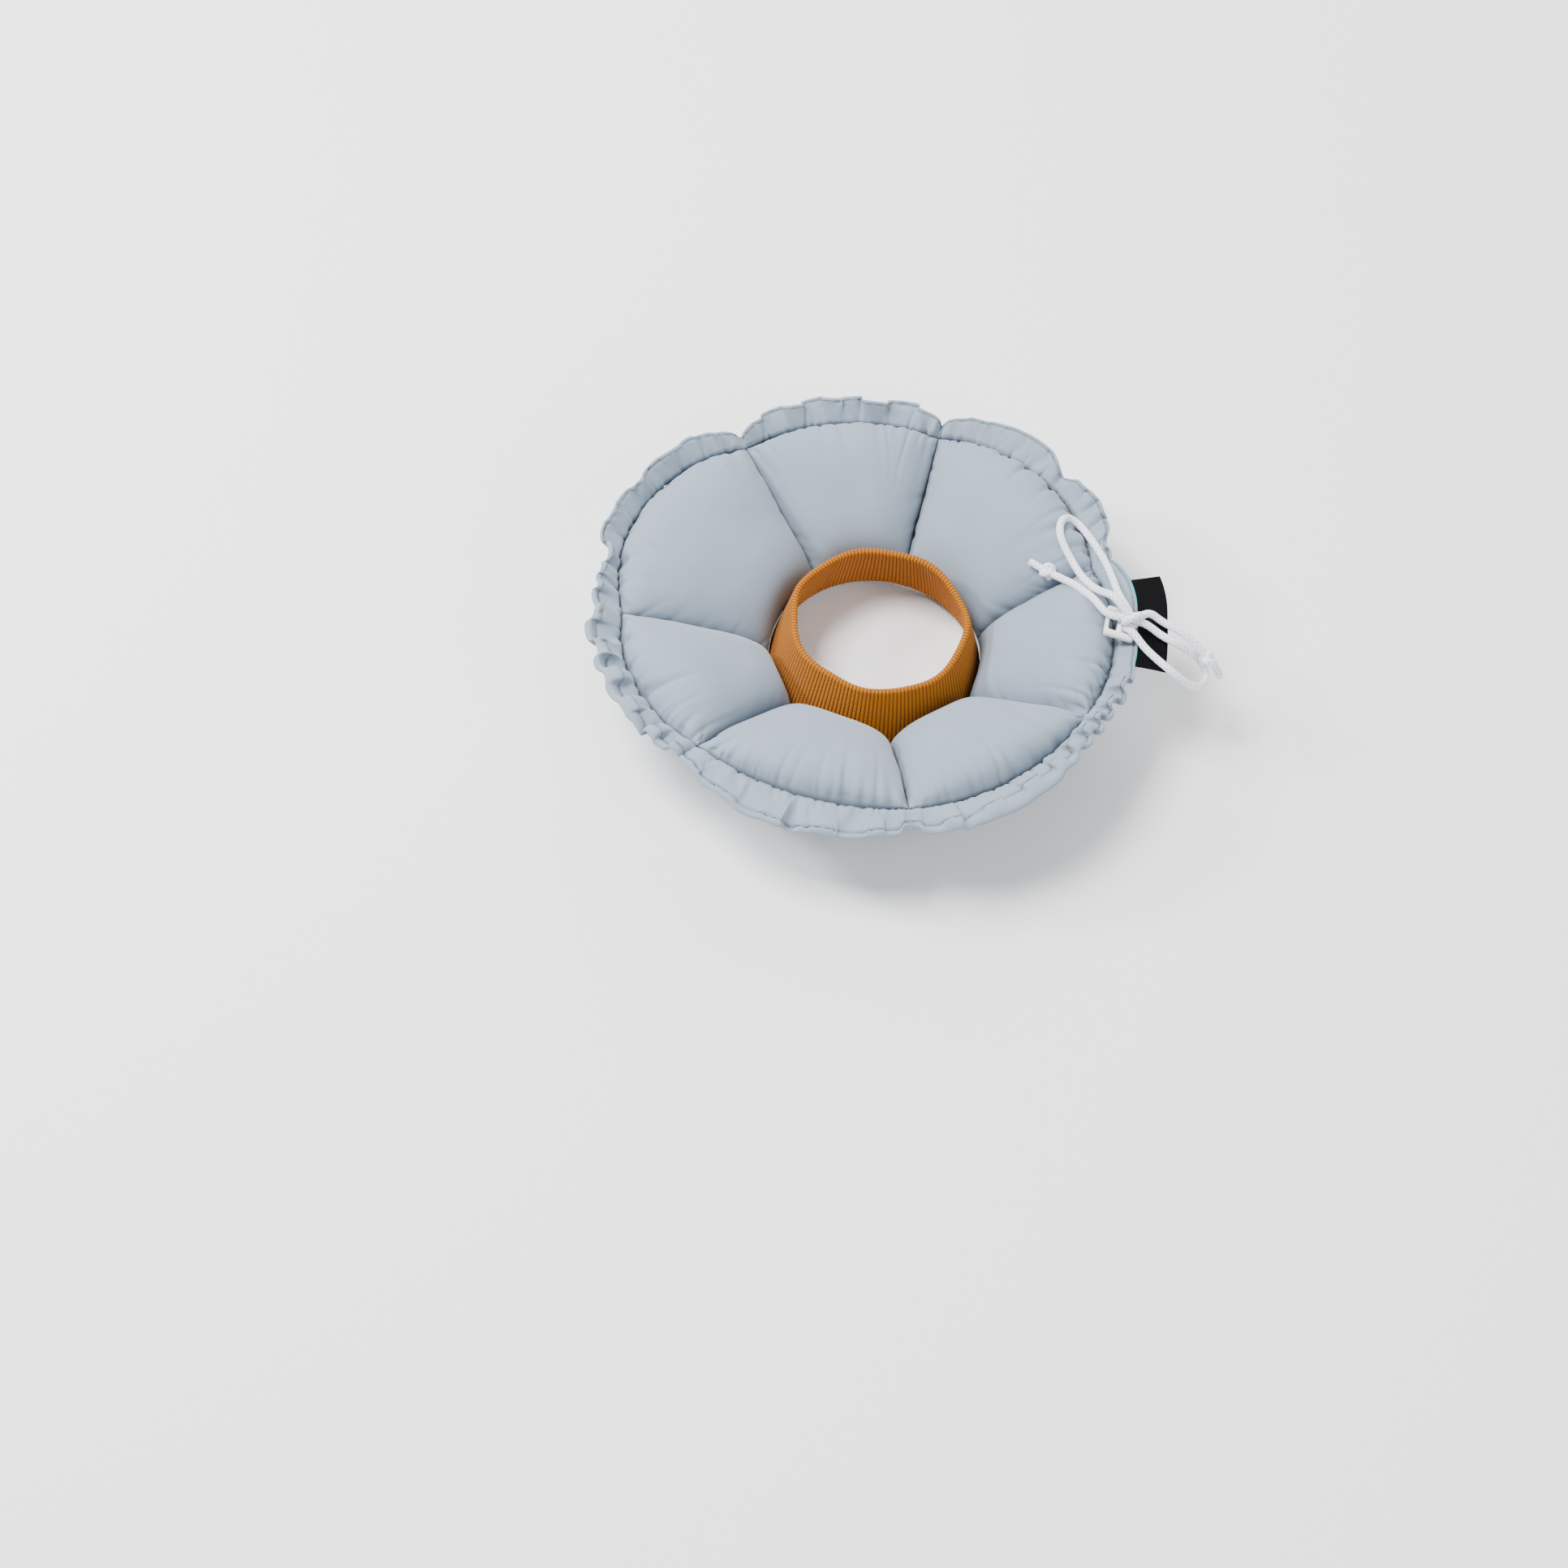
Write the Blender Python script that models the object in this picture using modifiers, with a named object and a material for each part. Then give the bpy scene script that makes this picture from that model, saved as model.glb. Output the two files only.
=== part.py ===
"""Soft recovery collar: seven stuffed petals round a rib-knit neck cuff, edged with a gathered
drawstring casing that ends in a slider, a bow and a bare woven label. Metres, +Z up. The origin is
on the neck's axis, on the plane that the petals rest on, and +X points at the label."""

import math

import bmesh
import bpy
import numpy as np
from mathutils import Matrix, Vector

# Neck and cone
NECK_RADIUS = 0.050  # ring where the petals are sewn to the cuff
NECK_HEIGHT = 0.0075  # that ring over the plane the petals rest on
CONE_RISE = 0.035  # from the neck ring up to the casing's seam
RIM_SHIFT = 0.0061  # the rim's centre sits this far to -X of the neck's
SEAM_RADIUS = 0.110  # casing's seam from the rim's centre, where two petals meet
SCALLOP = 0.0055  # how far the casing's seam bows out in the middle of a petal

# Filling of the petals
TOP_LOFT = 0.0220  # filling over the middle surface
UNDER_LOFT = 0.0203  # and under it
TOP_LEAN = math.radians(16)  # the upper bulge leans in over the neck by this
UNDER_LEAN = math.radians(30)  # the lower one leans out past the rim
CREST = 0.35  # share of the way from neck to rim where a petal is thickest
CAGE_ACROSS = 8
CAGE_ALONG = 6
CAGE_EASE = math.radians(68)  # crowds the cage's lines towards the seams

# Gathered casing
CASING_WIDTH = 0.016
CASING_WALL = 0.003  # two layers of cloth, their seam allowance and the cord inside
GATHER_DEPTH = 0.0024
GATHERS = 40
SEAM_PINCH = 0.20  # share of its width that the casing loses where two petals meet
CASING_STATIONS = 168
CASING_ROWS = 3

# Knit cuff
CUFF_HEIGHT = 0.030
CUFF_HEM = 0.002  # length of the cuff below the neck ring
CUFF_TOP_RADIUS = 0.0415
CUFF_WALL = 0.003
CUFF_STEPS = 56

# Woven label
LABEL_REACH = 0.013
LABEL_LENGTH = 0.0515
LABEL_WALL = 0.001
LABEL_ANGLE = math.radians(2.6)
LABEL_SLOPE = math.radians(6)
LABEL_STATIONS = 12

# Plastic slider on the casing
SLIDER_REACH = 0.0140
SLIDER_LENGTH = 0.0165
SLIDER_WALL = 0.0032
SLIDER_BEVEL = 0.0008
SLIDER_ANGLE = math.radians(0.7)
SLIDER_INSET = 0.0058  # how far its inner edge reaches over the petal from the casing's seam
SLIDER_TURN = math.radians(-5)
SLIDER_BAR = 0.0024  # bar between its two slots
SLOT_LENGTH = 0.0100

# Drawstring
CORD_DIAMETER = 0.0035
CORD_STEP = 0.0052  # between the points of a cord's tube
BOW_KNOT = (0.0100, 0.0085, 0.0080)
BOW_OFFSET = 0.0045  # bow's middle from the slider's, outwards
END_KNOT = (0.0080, 0.0070, 0.0068)
LEAD_CLEAR = 0.0008  # the square end of a run under the slider stops this short of the casing
KNOT_SIDES = 12
KNOT_RINGS = 8

# Clear space that touching pieces keep
GAP = 0.0003

# One row for each petal, counter-clockwise from the label: the seam that it starts at, as an angle
# at the rim and at the neck, that seam's distance and the petal's bow and filling as shares.
PETAL_COLUMNS = ("rim_deg", "neck_deg", "seam", "bow", "loft")
PETAL_ROWS = (
    (-23.5, -29.0, 1.030, 0.60, 0.96),
    (20.5, 20.0, 0.985, 1.15, 1.00),
    (77.0, 79.0, 0.990, 1.05, 0.94),
    (127.0, 129.0, 0.985, 1.30, 1.04),
    (189.0, 187.0, 1.020, 0.75, 0.98),
    (231.5, 225.0, 0.995, 0.55, 1.00),
    (285.0, 283.0, 1.000, 0.90, 1.03),
)

# How the casing stands round the rim: its slope over the horizontal, its width and the depth of its
# gathers as shares. Angles are at the rim, counter-clockwise from the label.
CASING_COLUMNS = ("rim_deg", "slope_deg", "width", "gather")
CASING_ROWS_ROUND = (
    (-16, 24, 0.84, 0.00),
    (3, 22, 0.70, 0.00),
    (16, 26, 0.76, 0.00),
    (28, 45, 0.90, 0.90),
    (38, 40, 1.00, 0.60),
    (45, 52, 0.72, 0.90),
    (58, 32, 1.00, 0.60),
    (75, 36, 0.75, 1.00),
    (90, 68, 0.62, 1.30),
    (104, 34, 0.76, 1.30),
    (122, 40, 0.72, 0.90),
    (138, 45, 0.80, 0.80),
    (155, 66, 0.68, 0.80),
    (172, 58, 0.80, 1.20),
    (184, 42, 0.98, 1.00),
    (200, 48, 0.95, 0.90),
    (225, 22, 0.92, 1.00),
    (250, 0, 0.98, 0.80),
    (270, -2, 0.86, 0.90),
    (290, 4, 0.95, 1.00),
    (311, 34, 0.95, 0.90),
    (326, 52, 1.00, 1.20),
    (336, 36, 0.92, 1.10),
)

# Middles of the overhand knots near the cord's two ends
END_KNOT_PLACES = {
    "inner_end_knot": (0.0750, 0.0336, 0.0436),
    "outer_end_knot": (0.1508, -0.0074, 0.0454),
}

# Each run of the drawstring outside the slider: the knots at its start and its end, and points
# chosen along its middle line between them.
CORD_COLUMNS = ("start", "end", "route")
CORD_ROWS = {
    "inner_loop": ("bow_knot", "bow_knot", (
        (0.1088, 0.0132, 0.0562), (0.1072, 0.0210, 0.0514), (0.1046, 0.0300, 0.0494),
        (0.1006, 0.0395, 0.0492), (0.0946, 0.0505, 0.0482), (0.0888, 0.0590, 0.0474),
        (0.0840, 0.0620, 0.0490), (0.0800, 0.0598, 0.0516), (0.0784, 0.0540, 0.0523),
        (0.0798, 0.0475, 0.0512), (0.0842, 0.0400, 0.0488), (0.0904, 0.0300, 0.0482),
        (0.0964, 0.0218, 0.0508), (0.1010, 0.0144, 0.0576), (0.1050, 0.0084, 0.0632),
    )),
    "inner_tail": ("bow_knot", "inner_end_knot", (
        (0.1032, 0.0026, 0.0573), (0.0992, 0.0066, 0.0574), (0.0958, 0.0130, 0.0546),
        (0.0918, 0.0188, 0.0512), (0.0874, 0.0234, 0.0494), (0.0824, 0.0276, 0.0470),
    )),
    "inner_tip": ("inner_end_knot", None, (
        (0.0698, 0.0362, 0.0438), (0.0654, 0.0378, 0.0450),
    )),
    "outer_loop": ("bow_knot", "bow_knot", (
        (0.1160, -0.0056, 0.0552), (0.1206, -0.0108, 0.0538), (0.1260, -0.0164, 0.0540),
        (0.1314, -0.0212, 0.0541), (0.1370, -0.0236, 0.0511), (0.1428, -0.0226, 0.0448),
        (0.1478, -0.0190, 0.0392), (0.1510, -0.0134, 0.0356), (0.1516, -0.0080, 0.0356),
        (0.1490, -0.0048, 0.0390), (0.1442, -0.0046, 0.0440), (0.1394, -0.0060, 0.0496),
        (0.1338, -0.0062, 0.0537), (0.1276, -0.0034, 0.0544), (0.1216, 0.0000, 0.0560),
    )),
    "outer_tail": ("bow_knot", "outer_end_knot", (
        (0.1218, 0.0054, 0.0584), (0.1272, 0.0034, 0.0558), (0.1330, 0.0012, 0.0550),
        (0.1388, -0.0012, 0.0538), (0.1442, -0.0040, 0.0508),
    )),
    "outer_tip": ("outer_end_knot", None, (
        (0.1554, -0.0072, 0.0396), (0.1586, -0.0094, 0.0340),
    )),
}

# Colour, roughness and metallic value of each material
MATERIALS = {
    "poplin": ((0.47, 0.55, 0.61), 0.80, 0.0),
    "rib_knit": ((0.52, 0.24, 0.05), 0.92, 0.0),
    "cord_cotton": ((0.86, 0.86, 0.90), 0.88, 0.0),
    "label_tape": ((0.015, 0.015, 0.017), 0.75, 0.0),
    "slider_plastic": ((0.84, 0.82, 0.80), 0.35, 0.0),
}


def clear_scene():
    """Remove whatever the scene opened with."""
    for obj in list(bpy.data.objects):
        bpy.data.objects.remove(obj, do_unlink=True)


def make_collection(name):
    group = bpy.data.collections.new(name)
    bpy.context.scene.collection.children.link(group)
    return group


def make_material(name):
    """A Principled material with the colour, roughness and metallic value of MATERIALS."""
    colour, roughness, metallic = MATERIALS[name]
    material = bpy.data.materials.new(name)
    material.use_nodes = True
    shader = material.node_tree.nodes["Principled BSDF"]
    shader.inputs["Base Color"].default_value = (*colour, 1.0)
    shader.inputs["Roughness"].default_value = roughness
    shader.inputs["Metallic"].default_value = metallic
    material.diffuse_color = (*colour, 1.0)
    return material


def add_object(name, data, group, material):
    obj = bpy.data.objects.new(name, data)
    data.materials.append(bpy.data.materials[material])
    group.objects.link(obj)
    return obj


def finished_mesh(shape, name):
    """The bmesh as a smooth-shaded mesh with its faces outward."""
    bmesh.ops.recalc_face_normals(shape, faces=shape.faces)
    mesh = bpy.data.meshes.new(name)
    shape.to_mesh(mesh)
    shape.free()
    mesh.shade_smooth()
    return mesh


def petal_rows():
    """PETAL_ROWS as dictionaries, and the first again one turn on to close the ring."""
    rows = [dict(zip(PETAL_COLUMNS, row)) for row in PETAL_ROWS]
    last = dict(rows[0])
    last["rim_deg"] += 360.0
    last["neck_deg"] += 360.0
    return rows + [last]


def seam_distance(share, first, after):
    """Distance of the casing's seam from the rim's centre, at a share of the way across a petal."""
    straight = SEAM_RADIUS * (first["seam"] + (after["seam"] - first["seam"]) * share)
    return straight + SCALLOP * first["bow"] * (1.0 - np.abs(2.0 * share - 1.0) ** 2.2)


def rim_point(angle, distance):
    return np.stack([distance * np.cos(angle) - RIM_SHIFT, distance * np.sin(angle)], -1)


def petal_middle(first, after, across, along):
    """Points of the sheet in the middle of a petal: across in -1..1, along in 0..1 from the neck."""
    neck_span = math.radians(after["neck_deg"] - first["neck_deg"])
    width = neck_span * (NECK_RADIUS + (SEAM_RADIUS - NECK_RADIUS) * along)
    share = 0.5 + 0.5 * across * (1.0 - GAP / width)
    neck = np.radians(first["neck_deg"]) + neck_span * share
    rim = np.radians(first["rim_deg"] + (after["rim_deg"] - first["rim_deg"]) * share)
    inner = NECK_RADIUS * np.stack([np.cos(neck), np.sin(neck)], -1)
    outer = rim_point(rim, seam_distance(share, first, after))
    return inner + (outer - inner) * along[:, None], NECK_HEIGHT + CONE_RISE * along


def petal_loft(across, along, bluntness):
    """Height of the filling as a share: full at the crest, and closing at all four seams."""
    round_side = 2.3
    side = (1.0 - np.abs(across) ** round_side) ** (1.0 / round_side)
    to_neck = np.clip((CREST - along) / CREST, 0.0, 1.0)
    to_rim = np.clip((along - CREST) / (1.0 - CREST), 0.0, 1.0)
    neck_end = (1.0 - to_neck**round_side) ** (1.0 / round_side)
    return side * neck_end * (1.0 - to_rim**bluntness) ** (1.0 / bluntness)


def petal_surface(index, across, along, upper):
    """Points on the upper or lower cloth of one petal."""
    rows = petal_rows()
    first, after = rows[index], rows[index + 1]
    flat, height = petal_middle(first, after, across, along)
    depth, lean, bluntness = (TOP_LOFT, TOP_LEAN, 2.8) if upper else (-UNDER_LOFT, UNDER_LEAN, 3.8)
    loft = depth * first["loft"] * petal_loft(across, along, bluntness)
    outward = flat / np.linalg.norm(flat, axis=-1, keepdims=True)
    flat = flat - (loft * math.sin(lean))[:, None] * outward
    return np.column_stack([flat, height + loft * math.cos(lean)])


def petal_cage(index):
    """Closed coarse cage of one petal: a square sheet for the upper cloth and a copy for the lower,
    each laid on its surface, joined along the creased seam round them."""
    shape = bmesh.new()
    bmesh.ops.create_grid(shape, x_segments=CAGE_ACROSS, y_segments=CAGE_ALONG, size=1.0)
    crease = shape.edges.layers.float.new("crease_edge")
    for edge in shape.edges:
        edge[crease] = float(edge.is_boundary)
    corner = shape.verts.layers.float.new("crease_vert")
    for vert in shape.verts:
        vert[corner] = float(len(vert.link_faces) == 1)
    upper = shape.verts[:]
    made = bmesh.ops.duplicate(shape, geom=shape.verts[:] + shape.edges[:] + shape.faces[:])
    lower = [item for item in made["geom"] if isinstance(item, bmesh.types.BMVert)]
    for verts, is_upper in ((upper, True), (lower, False)):
        square = np.sin(CAGE_EASE * np.array([vert.co[:2] for vert in verts])) / math.sin(CAGE_EASE)
        square = np.clip(square, -1.0, 1.0)
        points = petal_surface(index, square[:, 0], 0.5 + 0.5 * square[:, 1], is_upper)
        for vert, point in zip(verts, points):
            vert.co = point
    bmesh.ops.remove_doubles(shape, verts=shape.verts, dist=1e-5)
    return finished_mesh(shape, f"petal_{index + 1}")


def floor_cutter(cutters):
    """A block whose top face is the plane that the petals rest on."""
    side, depth = 4.0 * SEAM_RADIUS, 2.0 * UNDER_LOFT
    bpy.ops.mesh.primitive_cube_add(size=1.0, location=(0.0, 0.0, -0.5 * depth))
    block = bpy.context.object
    block.name = "floor_cutter"
    block.scale = (side, side, depth)
    hide_cutter(block, cutters)
    return block


def hide_cutter(cutter, cutters):
    cutter.hide_render = True
    cutter.display_type = "WIRE"
    for owner in list(cutter.users_collection):
        owner.objects.unlink(cutter)
    cutters.objects.link(cutter)


def cut(obj, cutter):
    """Take a cutter's volume away from an object."""
    modifier = obj.modifiers.new(cutter.name, "BOOLEAN")
    modifier.operation = "DIFFERENCE"
    modifier.solver = "EXACT"
    modifier.object = cutter


def make_petals(group, cutters):
    """Seven stuffed petals, each flattened by its own weight where it rests."""
    floor = floor_cutter(cutters)
    for index in range(len(PETAL_ROWS)):
        petal = add_object(f"petal_{index + 1}", petal_cage(index), group, "poplin")
        soft = petal.modifiers.new("filling", "SUBSURF")
        soft.levels = 1
        soft.render_levels = 1
        cut(petal, floor)


def casing_place(angle):
    """Where the casing starts at each rim angle: its distance, and how near to a radial seam it is."""
    rows = petal_rows()
    edges = np.radians([row["rim_deg"] for row in rows])
    turned = (angle - edges[0]) % (2.0 * math.pi) + edges[0]
    distance = np.zeros_like(turned)
    pinch = np.zeros_like(turned)
    for first, after, low, high in zip(rows, rows[1:], edges, edges[1:]):
        inside = (turned >= low) & (turned < high)
        share = (turned[inside] - low) / (high - low)
        distance[inside] = seam_distance(share, first, after)
        pinch[inside] = np.abs(2.0 * share - 1.0) ** 8
    return distance, pinch


def casing_column(name, angle):
    """One column of CASING_ROWS_ROUND read at each rim angle, eased between its rows."""
    at = CASING_COLUMNS.index(name)
    degrees = np.array([row[0] for row in CASING_ROWS_ROUND])
    values = np.array([row[at] for row in CASING_ROWS_ROUND])
    return np.interp(np.degrees(angle), degrees, values, period=360.0)


def casing_frame(angle):
    """Start of the casing at each rim angle, with its outward and upright directions and width."""
    distance, pinch = casing_place(angle)
    slope = np.radians(casing_column("slope_deg", angle))
    start = np.column_stack([
        rim_point(angle, distance + GAP),
        np.full_like(angle, NECK_HEIGHT + CONE_RISE + GAP),
    ])
    radial = np.column_stack([np.cos(angle), np.sin(angle), np.zeros_like(angle)])
    rise = np.array([0.0, 0.0, 1.0])
    outward = np.cos(slope)[:, None] * radial + np.sin(slope)[:, None] * rise
    upright = np.cos(slope)[:, None] * rise - np.sin(slope)[:, None] * radial
    width = CASING_WIDTH * casing_column("width", angle) * (1.0 - SEAM_PINCH * pinch)
    return start, outward, upright, width


def casing_under(angle, share):
    """Points on the lower face of the casing: share is 0 at its seam and 1 at its free edge."""
    start, outward, upright, width = casing_frame(angle)
    wave = np.sin(GATHERS * angle + 1.5 * np.sin(3.0 * angle))
    lift = GATHER_DEPTH * casing_column("gather", angle) * wave * share**1.3
    return start + outward * (width * share)[:, None] + upright * lift[:, None]


def make_casing(group):
    """Gathered double band round the rim: one strip joined end to end, thickened upwards."""
    shape = bmesh.new()
    bmesh.ops.create_grid(shape, x_segments=CASING_STATIONS, y_segments=CASING_ROWS, size=1.0)
    square = np.array([vert.co[:2] for vert in shape.verts])
    angle = math.pi * (square[:, 0] + 1.0)
    for vert, point in zip(shape.verts, casing_under(angle, 0.5 + 0.5 * square[:, 1])):
        vert.co = point
    bmesh.ops.remove_doubles(shape, verts=shape.verts, dist=1e-5)
    casing = add_object("rim_casing", finished_mesh(shape, "rim_casing"), group, "poplin")
    wall = casing.modifiers.new("two_layers", "SOLIDIFY")
    wall.thickness = CASING_WALL
    wall.offset = 1.0
    wall.use_even_offset = False


def make_cuff(group):
    """Folded rib-knit tube, narrowing upwards from the neck ring: a turned wall."""
    base = NECK_RADIUS - 2.0 * GAP
    low = NECK_HEIGHT - CUFF_HEM
    top = NECK_HEIGHT + CUFF_HEIGHT
    round_over = 0.5 * CUFF_WALL
    heights = [low + (top - round_over - low) * step / 4.0 for step in range(5)]

    def outer_radius(height):
        share = max(0.0, (height - NECK_HEIGHT) / CUFF_HEIGHT)
        return base + (CUFF_TOP_RADIUS - base) * share

    profile = [(outer_radius(z), z) for z in reversed(heights)]
    profile = [(outer_radius(top) - 0.3 * CUFF_WALL, top - 0.15 * CUFF_WALL)] + profile
    profile += [(outer_radius(z) - CUFF_WALL, z) for z in heights]
    profile += [(outer_radius(top) - 0.7 * CUFF_WALL, top - 0.15 * CUFF_WALL)]
    mesh = bpy.data.meshes.new("neck_cuff")
    count = len(profile)
    ring = [(step, (step + 1) % count) for step in range(count)]
    mesh.from_pydata([(r, 0.0, z) for r, z in profile], ring, [])
    cuff = add_object("neck_cuff", mesh, group, "rib_knit")
    turn = cuff.modifiers.new("turn", "SCREW")
    turn.steps = CUFF_STEPS
    turn.render_steps = CUFF_STEPS
    turn.use_merge_vertices = True
    turn.merge_threshold = 0.00001
    turn.use_smooth_shade = True


def make_label(group):
    """Bare woven tape folded into the casing's edge: a strip that follows that edge."""
    shape = bmesh.new()
    bmesh.ops.create_grid(shape, x_segments=LABEL_STATIONS, y_segments=1, size=1.0)
    square = np.array([vert.co[:2] for vert in shape.verts])
    distance, _ = casing_place(np.full(len(square), LABEL_ANGLE))
    edge_distance = distance + CASING_WIDTH
    angle = LABEL_ANGLE + 0.5 * LABEL_LENGTH / edge_distance * square[:, 0]
    start, outward, upright, width = casing_frame(angle)
    radial = np.column_stack([np.cos(angle), np.sin(angle), np.zeros_like(angle)])
    tape = math.cos(LABEL_SLOPE) * radial + math.sin(LABEL_SLOPE) * np.array([0.0, 0.0, 1.0])
    reach = 2.0 * GAP + LABEL_REACH * (0.5 + 0.5 * square[:, 1])
    points = start + outward * width[:, None] + upright * 0.5 * CASING_WALL + tape * reach[:, None]
    for vert, point in zip(shape.verts, points):
        vert.co = point
    label = add_object("side_label", finished_mesh(shape, "side_label"), group, "label_tape")
    wall = label.modifiers.new("tape", "SOLIDIFY")
    wall.thickness = LABEL_WALL
    wall.offset = 0.0


def cloth_height(distance, angle):
    """Height of the first petal's upper cloth at a distance from the rim's centre."""
    rows = petal_rows()
    low, high = math.radians(rows[0]["rim_deg"]), math.radians(rows[1]["rim_deg"])
    along = np.linspace(0.5, 1.0, 200)
    across = np.full_like(along, 2.0 * (angle - low) / (high - low) - 1.0)
    cloth = petal_surface(0, across, along, True)
    return float(np.interp(distance, np.hypot(cloth[:, 0] + RIM_SHIFT, cloth[:, 1]), cloth[:, 2]))


def casing_height(distance, angle):
    """Height of the casing's upper face at a distance from the rim's centre."""
    start, outward, upright, _ = casing_frame(np.array([angle]))
    face = start[0] + CASING_WALL * upright[0]
    reach = distance - math.hypot(face[0] + RIM_SHIFT, face[1])
    return float(face[2] + reach * outward[0][2] / math.hypot(*outward[0][:2]))


def slider_frame():
    """Matrix of the slider, which bridges from the petal's end to the casing: X out, Z up."""
    seam, _ = casing_place(np.array([SLIDER_ANGLE]))
    inner = float(seam[0]) - SLIDER_INSET
    outer = inner + SLIDER_REACH
    heights = (cloth_height(inner, SLIDER_ANGLE), casing_height(outer, SLIDER_ANGLE))
    radial = Vector((math.cos(SLIDER_ANGLE), math.sin(SLIDER_ANGLE), 0.0))
    x_axis = (radial * SLIDER_REACH + Vector((0.0, 0.0, heights[1] - heights[0]))).normalized()
    y_axis = Vector((0.0, 0.0, 1.0)).cross(x_axis).normalized()
    z_axis = x_axis.cross(y_axis)
    middle = radial * 0.5 * (inner + outer) + Vector((-RIM_SHIFT, 0.0, 0.5 * sum(heights)))
    middle += z_axis * (0.5 * SLIDER_WALL + GAP)
    turned = Matrix((x_axis, y_axis, z_axis)).transposed().to_4x4()
    return Matrix.Translation(middle) @ turned @ Matrix.Rotation(SLIDER_TURN, 4, "Z")


def slot_offset():
    """Distance of each slot's middle from the slider's middle."""
    return 0.5 * SLIDER_BAR + 0.5 * slot_width()


def slot_width():
    return CORD_DIAMETER + 2.0 * GAP


def make_slider(group, cutters):
    """Small plastic slide with two slots and a bar between them, lying on the casing."""
    frame = slider_frame()
    shape = bmesh.new()
    bmesh.ops.create_cube(shape, size=1.0)
    bmesh.ops.scale(shape, vec=(SLIDER_REACH, SLIDER_LENGTH, SLIDER_WALL), verts=shape.verts)
    slider = add_object("cord_slider", finished_mesh(shape, "cord_slider"), group, "slider_plastic")
    slider.matrix_world = frame
    for side in (-1, 1):
        bpy.ops.mesh.primitive_cube_add(size=1.0)
        slot = bpy.context.object
        slot.name = f"slot_cutter_{'inner' if side < 0 else 'outer'}"
        sizes = Matrix.Diagonal((slot_width(), SLOT_LENGTH, 3.0 * SLIDER_WALL, 1.0))
        slot.matrix_world = frame @ Matrix.Translation((side * slot_offset(), 0.0, 0.0)) @ sizes
        hide_cutter(slot, cutters)
        cut(slider, slot)
    rounded = slider.modifiers.new("moulded_edges", "BEVEL")
    rounded.width = SLIDER_BEVEL
    rounded.segments = 1
    rounded.limit_method = "ANGLE"


def smooth_route(points):
    """Evenly spaced points on a smooth curve through a route's own points."""
    route = [Vector(point) for point in points]
    padded = [2.0 * route[0] - route[1]] + route + [2.0 * route[-1] - route[-2]]
    fine = []
    for a, b, c, d in zip(padded, padded[1:], padded[2:], padded[3:]):
        for step in range(12):
            t = step / 12.0
            fine.append(0.5 * (
                2.0 * b + (c - a) * t + (2.0 * a - 5.0 * b + 4.0 * c - d) * t * t
                + (3.0 * b - a - 3.0 * c + d) * t**3
            ))
    fine.append(route[-1])
    reached = np.concatenate([[0.0], np.cumsum([(q - p).length for p, q in zip(fine, fine[1:])])])
    count = max(2, round(reached[-1] / CORD_STEP))
    coordinates = np.array([tuple(point) for point in fine])
    even = np.linspace(0.0, reached[-1], count + 1)
    return np.column_stack([np.interp(even, reached, coordinates[:, axis]) for axis in range(3)])


def make_cord(name, points, group):
    """Round cord along a route, as a tube with closed ends."""
    curve = bpy.data.curves.new(name, "CURVE")
    curve.dimensions = "3D"
    spline = curve.splines.new("POLY")
    spline.points.add(len(points) - 1)
    for item, point in zip(spline.points, points):
        item.co = (*point, 1.0)
    curve.bevel_depth = 0.5 * CORD_DIAMETER
    curve.bevel_resolution = 2
    curve.use_fill_caps = True
    return add_object(name, curve, group, "cord_cotton")


def knot_places():
    """Middle and size of each knot: the bow's on the slider, and one near each end of the cord."""
    lift = 0.5 * SLIDER_WALL + GAP + 0.5 * BOW_KNOT[2]
    places = {"bow_knot": (slider_frame() @ Vector((BOW_OFFSET, 0.0, lift)), BOW_KNOT)}
    for name, place in END_KNOT_PLACES.items():
        places[name] = (Vector(place), END_KNOT)
    return places


def make_knots(group):
    """Each knot as a closed egg of its outer size."""
    for name, (middle, size) in knot_places().items():
        shape = bmesh.new()
        bmesh.ops.create_uvsphere(shape, u_segments=KNOT_SIDES, v_segments=KNOT_RINGS, radius=0.5)
        bmesh.ops.scale(shape, vec=size, verts=shape.verts)
        bmesh.ops.translate(shape, vec=middle, verts=shape.verts)
        add_object(name, finished_mesh(shape, name), group, "cord_cotton")


def knot_exit(knot, toward):
    """Where a run of cord that leaves a knot towards a point starts, clear of the knot."""
    middle, size = knot
    direction = (Vector(toward) - middle).normalized()
    reach = 1.0 / math.sqrt(sum((2.0 * part / whole) ** 2 for part, whole in zip(direction, size)))
    return middle + direction * (reach + GAP)


def make_cords(group):
    """The bow's two loops, the tails and the short tips past their end knots."""
    knots = knot_places()
    for name, row in CORD_ROWS.items():
        values = dict(zip(CORD_COLUMNS, row))
        route = list(values["route"])
        whole = [knot_exit(knots[values["start"]], route[0])] + route
        if values["end"]:
            whole.append(knot_exit(knots[values["end"]], route[-1]))
        make_cord(name, smooth_route(whole), group)


def make_leads(group):
    """Two runs of cord side by side, from the casing up through the slider's outer slot."""
    frame = slider_frame()
    top = 0.5 * SLIDER_WALL
    spread = 0.5 * (CORD_DIAMETER + 2.0 * GAP)
    for name, side in (("cord_lead_a", 1), ("cord_lead_b", -1)):
        above = frame @ Vector((slot_offset(), side * spread, top))
        down = frame @ Vector((slot_offset(), side * spread, top - 1.0)) - above
        distance = math.hypot(above.x + RIM_SHIFT, above.y)
        depth = above.z - casing_height(distance, math.atan2(above.y, above.x + RIM_SHIFT))
        below = above + down * (depth - LEAD_CLEAR)
        make_cord(name, [above, 0.5 * (above + below), below], group)


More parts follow.
